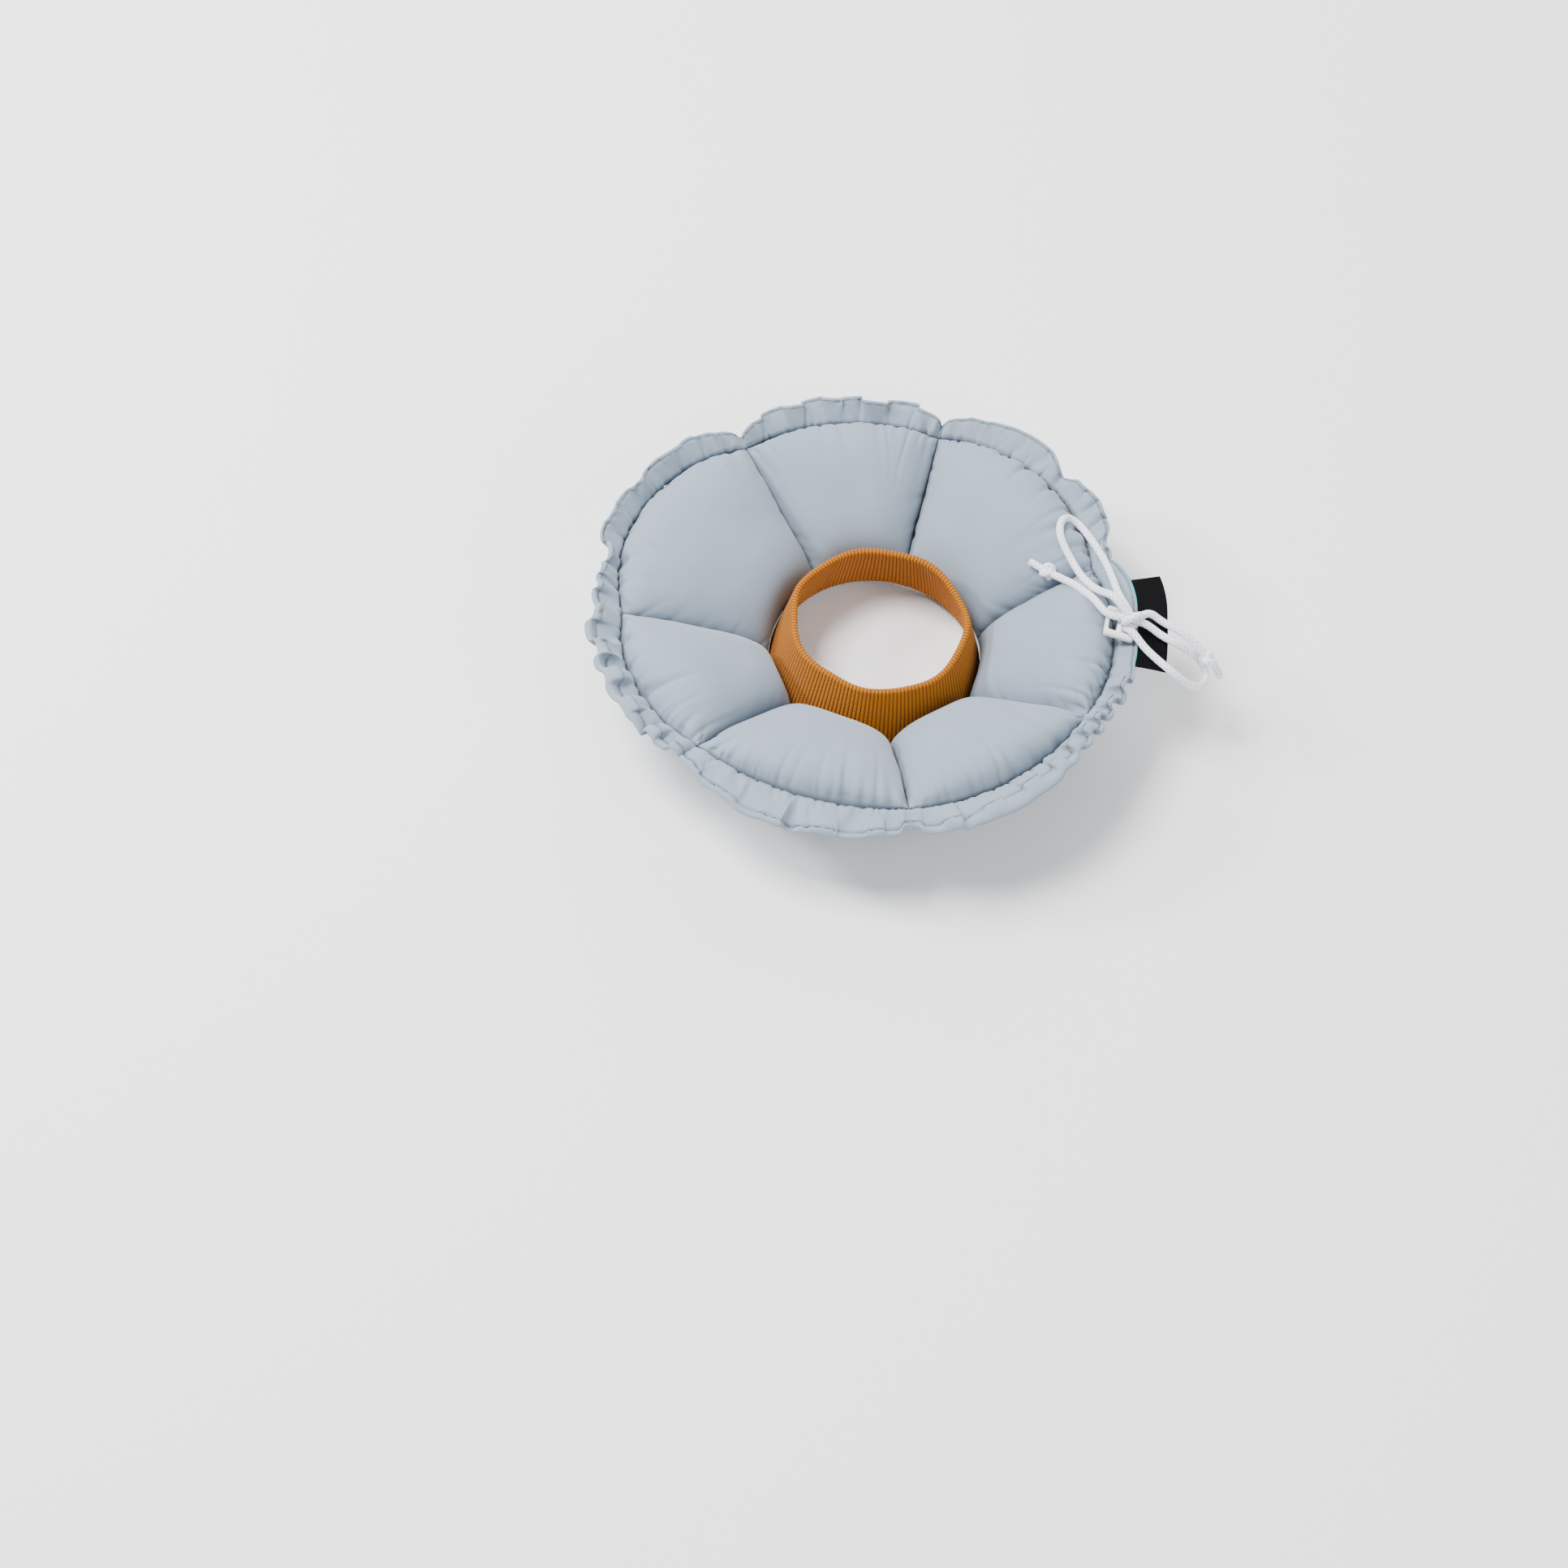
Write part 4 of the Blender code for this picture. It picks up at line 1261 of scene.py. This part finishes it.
@dataclass(frozen=True)
class Label:
    """Bare woven tape folded into the casing's edge."""

    plan: RimPlan
    reach: float = 0.013
    length: float = 0.0515
    wall: float = 0.9 * MM
    angle: float = math.radians(2.6)
    slope: float = math.radians(6)
    tuck: float = 0.8 * MM
    hem: float = 0.6 * MM
    curl: float = 0.9 * MM
    sag: float = 0.5 * MM
    ripple: float = 0.25 * MM
    soft_edge: float = 1.2 * MM
    edge_thread: float = 0.28 * MM
    edge_steps: int = 260
    along_steps: int = 90
    across_steps: int = 26

    def edging(self, casing: Casing, thread: bpy.types.Material) -> None:
        """Lay a fine overlocked thread along the casing's edge where the tape is let in.

        Args:
            casing: the band that the thread is laid on.
            thread: the thread's material.
        """
        reach = 0.5 * self.length / (self.plan.seam_radius + self.plan.casing_width)
        angle = self.angle + np.linspace(-reach, reach, self.edge_steps)
        path = casing.surface(angle, np.full_like(angle, 0.985), np.ones_like(angle))
        girth = self.edge_thread + 0.12 * MM * np.sin(np.arange(self.edge_steps) * 2.1)
        sides = 6
        points = path[:, None] + girth[:, None, None] * circles(turns_of(sides), *Drawstring.frames(path))
        edging = make_mesh("label_edge_thread", points, grid_faces(len(path), sides, False, True))
        dress(edging, thread, "label_tape")

    def build(self, tape: bpy.types.Material) -> None:
        """Make the tape as a closed thin sheet that follows the casing's edge and curls a little.

        Args:
            tape: the tape's material.
        """
        along = np.linspace(-1.0, 1.0, self.along_steps + 1)
        out = np.linspace(0.0, 1.0, self.across_steps + 1)
        along, out = np.meshgrid(along, out, indexing="ij")
        distance, _ = self.plan.place(np.full_like(along, self.angle))
        edge = distance + self.plan.casing_width
        angle = self.angle + 0.5 * self.length / edge * along
        start, outward, upright, width = self.plan.casing_frame(angle)
        radial = np.stack([np.cos(angle), np.sin(angle), np.zeros_like(angle)], -1)
        direction = math.cos(self.slope) * radial + math.sin(self.slope) * np.array([0.0, 0.0, 1.0])
        whole = self.reach + self.tuck + self.hem
        reach = -self.tuck + whole * out
        base = start + outward * width[..., None] + upright * 0.5 * self.plan.casing_wall
        curl = self.curl * out**2 * np.cos(0.5 * math.pi * along) - self.sag * out**2
        curl = curl + self.ripple * np.sin(5.0 * along + 2.0 * out) * out
        middle = base + direction * reach[..., None]
        middle[..., 2] += curl
        normal = normals_of(middle)
        normal *= np.sign(normal[..., 2:3].mean())
        rim = np.minimum(1.0 - np.abs(along), 1.0 - out) * 0.5 * self.length / self.soft_edge
        half = 0.5 * self.wall * (0.55 + 0.45 * np.sqrt(np.clip(rim, 0.0, 1.0)))
        top = middle + normal * half[..., None]
        under = middle - normal * half[..., None]
        rows, columns = along.shape
        quads = grid_faces(rows, columns, False, False)
        count = rows * columns
        sides = (
            np.arange(columns),
            np.arange(1, rows) * columns + columns - 1,
            (rows - 1) * columns + np.arange(columns - 2, -1, -1),
            np.arange(rows - 2, 0, -1) * columns,
        )
        border = np.concatenate(sides)
        after = np.roll(border, -1)
        rim_faces = np.stack([border, after, after + count, border + count], -1)
        faces = np.concatenate([quads, quads[:, ::-1] + count, rim_faces])
        points = np.concatenate([top.reshape(-1, 3), under.reshape(-1, 3)])
        sheet = np.stack([along * 0.5 * self.length, out * self.reach], -1).reshape(-1, 2)
        label = make_mesh("side_label_tape", points, faces, np.concatenate([sheet, sheet]))
        dress(label, tape, "label_tape", "side_label")


@dataclass(frozen=True)
class Slider:
    """Moulded slide on the drawstring, from the CAD solid with its edges rounded."""

    edge: float = 0.55 * MM
    flat_angle: float = math.radians(4)
    sharp_angle: float = math.radians(25)

    def build(self, acetal: bpy.types.Material) -> None:
        """Merge a copy of the solid, round its edges in three steps and keep the result as a mesh.

        Args:
            acetal: the slide's material.
        """
        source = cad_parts["cord_slider"]
        shape = bmesh.new()
        shape.from_mesh(source.data)
        bmesh.ops.remove_doubles(shape, verts=shape.verts, dist=1e-5)
        bmesh.ops.dissolve_limit(shape, angle_limit=self.flat_angle, verts=shape.verts, edges=shape.edges)
        edges = [edge for edge in shape.edges if edge.is_manifold]
        sharp = [edge for edge in edges if edge.calc_face_angle() > self.sharp_angle]
        bmesh.ops.bevel(
            shape, geom=sharp, offset=self.edge, segments=3, profile=0.5, affect="EDGES", clamp_overlap=True
        )
        bmesh.ops.triangulate(shape, faces=[face for face in shape.faces if len(face.verts) > 4])
        piece = linked(bpy.data.meshes.new("cord_slider_moulded"), shape)
        dress(piece, acetal, "slider_plastic", "cord_slider")


# ---- drawstring ----

# Points chosen along the middle of each run outside the slider, and the middles of the end knots.
INNER_LOOP = (
    (0.1088, 0.0132, 0.0562), (0.1072, 0.0210, 0.0514), (0.1046, 0.0300, 0.0494),
    (0.1006, 0.0395, 0.0492), (0.0946, 0.0505, 0.0482), (0.0888, 0.0590, 0.0474),
    (0.0840, 0.0620, 0.0490), (0.0800, 0.0598, 0.0516), (0.0784, 0.0540, 0.0523),
    (0.0798, 0.0475, 0.0512), (0.0842, 0.0400, 0.0488), (0.0904, 0.0300, 0.0482),
    (0.0964, 0.0218, 0.0508), (0.1010, 0.0144, 0.0576), (0.1050, 0.0084, 0.0632),
)
INNER_TAIL = (
    (0.1032, 0.0026, 0.0573), (0.0992, 0.0066, 0.0574), (0.0958, 0.0130, 0.0546),
    (0.0918, 0.0188, 0.0512), (0.0874, 0.0234, 0.0494), (0.0824, 0.0276, 0.0470),
)
INNER_TIP = ((0.0698, 0.0362, 0.0438), (0.0654, 0.0378, 0.0450))
OUTER_LOOP = (
    (0.1160, -0.0056, 0.0552), (0.1206, -0.0108, 0.0538), (0.1260, -0.0164, 0.0540),
    (0.1314, -0.0212, 0.0541), (0.1370, -0.0236, 0.0511), (0.1428, -0.0226, 0.0448),
    (0.1478, -0.0190, 0.0392), (0.1510, -0.0134, 0.0356), (0.1516, -0.0080, 0.0356),
    (0.1490, -0.0048, 0.0390), (0.1442, -0.0046, 0.0440), (0.1394, -0.0060, 0.0496),
    (0.1338, -0.0062, 0.0537), (0.1276, -0.0034, 0.0544), (0.1216, 0.0000, 0.0560),
)
OUTER_TAIL = (
    (0.1218, 0.0054, 0.0584), (0.1272, 0.0034, 0.0558), (0.1330, 0.0012, 0.0550),
    (0.1388, -0.0012, 0.0538), (0.1442, -0.0040, 0.0508),
)
OUTER_TIP = ((0.1554, -0.0072, 0.0396), (0.1586, -0.0094, 0.0340))
INNER_END_KNOT = (0.0750, 0.0336, 0.0436)
OUTER_END_KNOT = (0.1508, -0.0074, 0.0454)


# A tube's points, its quads and its braid's relief.
Tube = tuple[np.ndarray, np.ndarray, np.ndarray]


@dataclass(frozen=True)
class Drawstring:
    """Round braided cord tied in a bow, with an overhand knot near each end."""

    diameter: float = 0.0035
    step: float = 0.35 * MM
    sides: int = 28
    strands: int = 8
    braid_pitch: float = 5.2 * MM
    braid_depth: float = 0.13 * MM
    bow_radii: tuple[float, float] = (4.0 * MM, 3.8 * MM)
    bow_pitch: float = 3.2 * MM
    knot_scale: tuple[float, float, float] = (0.90 * MM, 0.84 * MM, 1.50 * MM)
    yarns: int = 26
    yarn: float = 0.16 * MM

    def route(self, points: list) -> np.ndarray:
        """Evenly spaced points on a smooth curve through the chosen ones.

        Each stretch is a cubic whose slope at a chosen point is half the way between its neighbours,
        and the whole is then averaged over three diameters, so that no bend is sharper than the cord's.

        Args:
            points: the chosen points, in order.

        Returns:
            Points a step apart.
        """
        given = np.array(points, float)
        padded = np.vstack([2 * given[0] - given[1], given, 2 * given[-1] - given[-2]])
        t = (np.arange(24) / 24.0)[None, :, None]
        a, b, c, d = (padded[at : len(padded) - 3 + at][:, None] for at in range(4))
        square, cube = 2 * a - 5 * b + 4 * c - d, 3 * b - a - 3 * c + d
        fine = 0.5 * (2 * b + (c - a) * t + square * t**2 + cube * t**3)
        fine = np.vstack([fine.reshape(-1, 3), given[-1]])
        fine = self.even(fine, self.step)
        reach = int(round(1.5 * self.diameter / self.step))
        kernel = np.hanning(2 * reach + 3)[1:-1]
        kernel /= kernel.sum()
        held = np.vstack([np.repeat(fine[:1], reach, 0), fine, np.repeat(fine[-1:], reach, 0)])
        smooth = np.stack([np.convolve(held[:, axis], kernel, "valid") for axis in range(3)], -1)
        return self.even(smooth, self.step)

    @staticmethod
    def even(points: np.ndarray, step: float) -> np.ndarray:
        """Read a line of points anew at even distances.

        Args:
            points: the line.
            step: the distance to come near.

        Returns:
            Points at even distances, the two ends among them.
        """
        reached = run_of(points)
        at = np.linspace(0.0, reached[-1], max(4, round(reached[-1] / step)) + 1)
        return np.stack([np.interp(at, reached, points[:, axis]) for axis in range(3)], -1)

    @staticmethod
    def frames(path: np.ndarray) -> tuple[np.ndarray, np.ndarray]:
        """Two directions square to a path that turn with it as little as they can.

        Args:
            path: points along the path.

        Returns:
            The two directions at each point.
        """
        tangent = unit(np.gradient(path, axis=0))
        side = np.cross(tangent[0], [0.0, 0.0, 1.0])
        if np.linalg.norm(side) < 0.1:
            side = np.cross(tangent[0], [1.0, 0.0, 0.0])
        sides = [unit(side)]
        for direction in tangent[1:]:
            sides.append(unit(sides[-1] - direction * (sides[-1] @ direction)))
        first = np.array(sides)
        return first, np.cross(tangent, first)

    def tube(self, path: np.ndarray, share: float = 1.0, closed: bool = False) -> Tube:
        """A braided tube along a path.

        Its radius swells where a strand lies on top: two families of helices cross, and the surface
        takes the higher of cos(n angle + turns) and cos(n angle - turns).

        Args:
            path: points along its middle.
            share: its thickness over the cord's.
            closed: whether the path is a ring. If it isn't, its ends round off.

        Returns:
            Points, quads and the braid's relief from 0 to 1 at each point.
        """
        first, second = self.frames(path)
        angle = turns_of(self.sides)
        travel = np.arange(len(path)) * self.step
        turns = 2.0 * math.pi * travel[:, None] / self.braid_pitch * 2.0
        around = 0.5 * self.strands * angle[None]
        relief = np.maximum(np.cos(around + turns), np.cos(around - turns))
        relief = np.clip(0.5 + 0.5 * relief, 0.0, 1.0) ** 0.7
        radius = 0.5 * self.diameter * share + self.braid_depth * (relief - 0.75)
        if not closed:
            from_end = np.minimum(travel, travel[::-1])
            radius = radius * np.sqrt(np.clip(from_end / (0.5 * MM), 0.3, 1.0))[:, None]
        points = path[:, None] + radius[..., None] * circles(angle, first, second)
        return points.reshape(-1, 3), grid_faces(len(path), self.sides, closed, True), relief.ravel()

    @staticmethod
    def piece(name: str, tubes: list[Tube]) -> bpy.types.Object:
        """Join tubes into one mesh that carries the braid's relief, its ends closed."""
        points, faces = joined([(points, faces) for points, faces, _ in tubes])
        return make_mesh(name, points, faces, relief=np.concatenate([relief for _, _, relief in tubes]))

    def bow_knot(self, middle: Vector) -> Tube:
        """The bow's wrap: a turn and a third round the runs, advancing along them, its ends below.

        Args:
            middle: the wrap's middle.

        Returns:
            The wrap's tube.
        """
        t = np.linspace(-0.66, 0.66, 90)
        turn = 2.0 * math.pi * t + 0.5 * math.pi
        along = unit(np.array([0.60, -0.75, -0.28]))
        side, up = square_to(along)
        radii = np.where(np.abs(t) > 0.5, 1.0 - 1.2 * (np.abs(t) - 0.5), 1.0)
        wide, tall = self.bow_radii
        flat = np.stack([wide * radii * np.cos(turn), tall * radii * np.sin(turn), self.bow_pitch * t], -1)
        path = np.array(middle) + flat @ np.stack([side, up, along])
        return self.tube(self.even(path, self.step))

    def end_knot(self, middle: tuple, out: np.ndarray) -> Tube:
        """A tight overhand knot: the trefoil (sin t + 2 sin 2t, cos t - 2 cos 2t, -sin 3t), squeezed.

        Args:
            middle: the knot's middle.
            out: the cord's direction through it.

        Returns:
            The knot's tube.
        """
        t = turns_of(400)
        curve = np.stack([np.sin(t) + 2 * np.sin(2 * t), np.cos(t) - 2 * np.cos(2 * t), -np.sin(3 * t)], -1)
        out = unit(out)
        path = np.array(middle) + (curve * self.knot_scale) @ np.stack([*square_to(out), out])
        ring = np.vstack([path, path[:1]])
        length = run_of(ring)[-1]
        even = self.even(ring, length / round(length / self.step))
        return self.tube(even[:-1], share=0.95, closed=True)

    def tuft(self, end: np.ndarray, out: np.ndarray, seed: int) -> list[Tube]:
        """Loose yarn ends past a cut tip: thin cones that spread and bend a little.

        Args:
            end: the cord's cut end.
            out: the direction that the cord points in.
            seed: which random spread to use.

        Returns:
            One tube for each yarn.
        """
        rng = np.random.default_rng(seed)
        out = unit(out)
        rings, sides = 6, 5
        t = np.linspace(0.0, 1.0, rings)[:, None]
        girth = self.yarn * (1.05 - t)
        made = []
        for _ in range(self.yarns):
            spread = rng.normal(0.0, 0.35, 3)
            direction = unit(out + spread)
            start = end + (spread - out * (spread @ out)) * 2.8 * MM * rng.uniform(0.3, 1.0)
            path = start + direction * t * rng.uniform(0.6, 1.3) * MM + rng.normal(0, 0.15, 3) * MM * t**2
            ring = circles(turns_of(sides), *self.frames(path))
            points = (path[:, None] + girth[..., None] * ring).reshape(-1, 3)
            made.append((points, grid_faces(rings, sides, False, True), np.full(len(points), 0.9)))
        return made

    def build(self, cotton: bpy.types.Material) -> None:
        """Args:
            cotton: the cord's material.
        """
        low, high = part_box("bow_knot")
        knot = 0.5 * (low + high)
        wrap = self.piece("bow_knot_wrap", [self.bow_knot(knot)])
        dress(wrap, cotton, "cord_cotton", "bow_knot")
        ends = {}
        for name, middle, tip, seed in (
            ("inner", INNER_END_KNOT, INNER_TIP, 3),
            ("outer", OUTER_END_KNOT, OUTER_TIP, 4),
        ):
            line = self.route([middle, *tip])
            out = line[-1] - line[-4]
            ends[name] = [
                self.piece(f"{name}_end_overhand", [self.end_knot(middle, line[6] - line[0])]),
                self.piece(
                    f"{name}_tip_frayed", [self.tube(line), *self.tuft(line[-1] - out * 0.3, out, seed)]
                ),
            ]
            dress(ends[name][0], cotton, "cord_cotton", f"{name}_end_knot")
            dress(ends[name][1], cotton, "cord_cotton", f"{name}_tip")
        centre = np.array(knot)
        for name, lead, loop, tail, end, knot_end, nodes, under_wrap in (
            (
                "drawstring_a", "cord_lead_a", INNER_LOOP, OUTER_TAIL, "outer", OUTER_END_KNOT,
                ("inner_loop", "outer_tail"), True,
            ),
            (
                "drawstring_b", "cord_lead_b", OUTER_LOOP, INNER_TAIL, "inner", INNER_END_KNOT,
                ("outer_loop", "inner_tail"), False,
            ),
        ):
            lead_low, lead_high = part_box(lead)
            foot = 0.5 * (lead_low + lead_high)
            head = foot.copy()
            foot.z, head.z = lead_low.z + 0.2 * MM, lead_high.z
            passes = ((loop[0], 0.25), (loop[-1], 0.2), (tail[0], 0.3))
            near = [centre + (np.array(point) - centre) * share for point, share in passes]
            given = [foot, head, *(near[:1] if under_wrap else []), *loop, *near[1:], *tail, knot_end]
            path = self.route([tuple(point) for point in given])
            cord = self.piece(name, [self.tube(path)])
            dress(cord, cotton, "cord_cotton", lead, *nodes)


# ---- studio ----

# Each light's name, place, width in metres and power in watts.
LIGHTS = (
    ("key", (-0.9, 0.1, 1.8), 0.8, 78.0),
    ("window", (-1.6, 0.2, 1.1), 0.25, 30.0),
    ("fill", (1.3, -1.2, 1.2), 1.6, 34.0),
    ("back", (0.2, 1.6, 1.1), 1.4, 28.0),
)


@dataclass(frozen=True)
class Studio:
    """Pale floor, soft lights and the camera, which looks down at the collar as the photograph does."""

    target: tuple[float, float, float] = (-0.0061, 0.0, 0.0425)
    elevation: float = math.radians(53)
    roll: float = math.radians(-6.5)
    distance: float = 1.700
    lens: float = 85.0
    sensor: float = 36.0
    image: float = 1932.0
    target_pixel: tuple[float, float] = (1068.0, 753.0)
    floor_side: float = 6.0
    ground_light: float = 0.5

    def camera(self) -> None:
        """Aim the camera so that the rim's centre falls on its pixel, with no shift."""
        forward = Vector((0.0, math.cos(self.elevation), -math.sin(self.elevation)))
        level = Vector((1.0, 0.0, 0.0))
        climb = Vector((0.0, math.sin(self.elevation), math.cos(self.elevation)))
        right = level * math.cos(self.roll) - climb * math.sin(self.roll)
        up = level * math.sin(self.roll) + climb * math.cos(self.roll)
        looking = Matrix((right, up, -forward)).transposed()
        focal = self.lens / self.sensor * self.image
        across = (self.target_pixel[0] - 0.5 * self.image) / focal
        above = (0.5 * self.image - self.target_pixel[1]) / focal
        aim = Vector((across, above, -1.0)).rotation_difference(Vector((0.0, 0.0, -1.0))).to_matrix()
        data = bpy.data.cameras.new("camera")
        data.lens, data.sensor_width = self.lens, self.sensor
        camera = bpy.data.objects.new("camera", data)
        place = Vector(self.target) - forward * self.distance
        camera.matrix_world = Matrix.Translation(place) @ (looking @ aim).to_4x4()
        bpy.context.scene.collection.objects.link(camera)
        bpy.context.scene.camera = camera

    def light(self, name: str, place: tuple[float, float, float], size: float, power: float) -> None:
        """A square area light aimed at the collar.

        Args:
            name: the lamp's name.
            place: where it hangs.
            size: its width in metres.
            power: its power in watts.
        """
        data = bpy.data.lights.new(name, "AREA")
        data.size, data.energy = size, power
        lamp = bpy.data.objects.new(name, data)
        aim = (Vector(self.target) - Vector(place)).to_track_quat("-Z", "Y")
        lamp.matrix_world = Matrix.Translation(Vector(place)) @ aim.to_matrix().to_4x4()
        bpy.context.scene.collection.objects.link(lamp)

    def build(self) -> None:
        """Lay the floor, hang the lights and place the camera."""
        corners = np.array([[-1, -1, 0], [1, -1, 0], [1, 1, 0], [-1, 1, 0]]) * self.floor_side
        floor = make_mesh("floor", corners, np.array([[0, 1, 2, 3]]))
        floor.data.materials.append(StudioPaper().make())
        for name, place, size, power in LIGHTS:
            self.light(name, place, size, power)
        world = bpy.data.worlds.new("studio")
        world.use_nodes = True
        ground = world.node_tree.nodes["Background"]
        ground.inputs["Color"].default_value = linear("#F2F4F6")
        ground.inputs["Strength"].default_value = self.ground_light
        bpy.context.scene.world = world
        self.camera()


def main() -> None:
    """Build the studio, then the collar from its cushions to its drawstring."""
    logging.basicConfig(level=logging.INFO)
    Studio().build()
    plan = RimPlan()
    poplin = WovenCloth().make()
    blue_thread = SewingThread("blue_grey_thread", "#5F7182").make()
    Drawstring().build(BraidedCotton().make())
    Petals(plan).build(poplin)
    Casing(plan).build(poplin, blue_thread)
    Cuff(plan).build(RibKnit().make())
    Label(plan).build(SatinTape().make())
    Label(plan).edging(Casing(plan), SewingThread("turquoise_thread", "#2F9C98").make())
    Slider().build(MouldedAcetal().make())


if __name__ == "__main__":
    main()
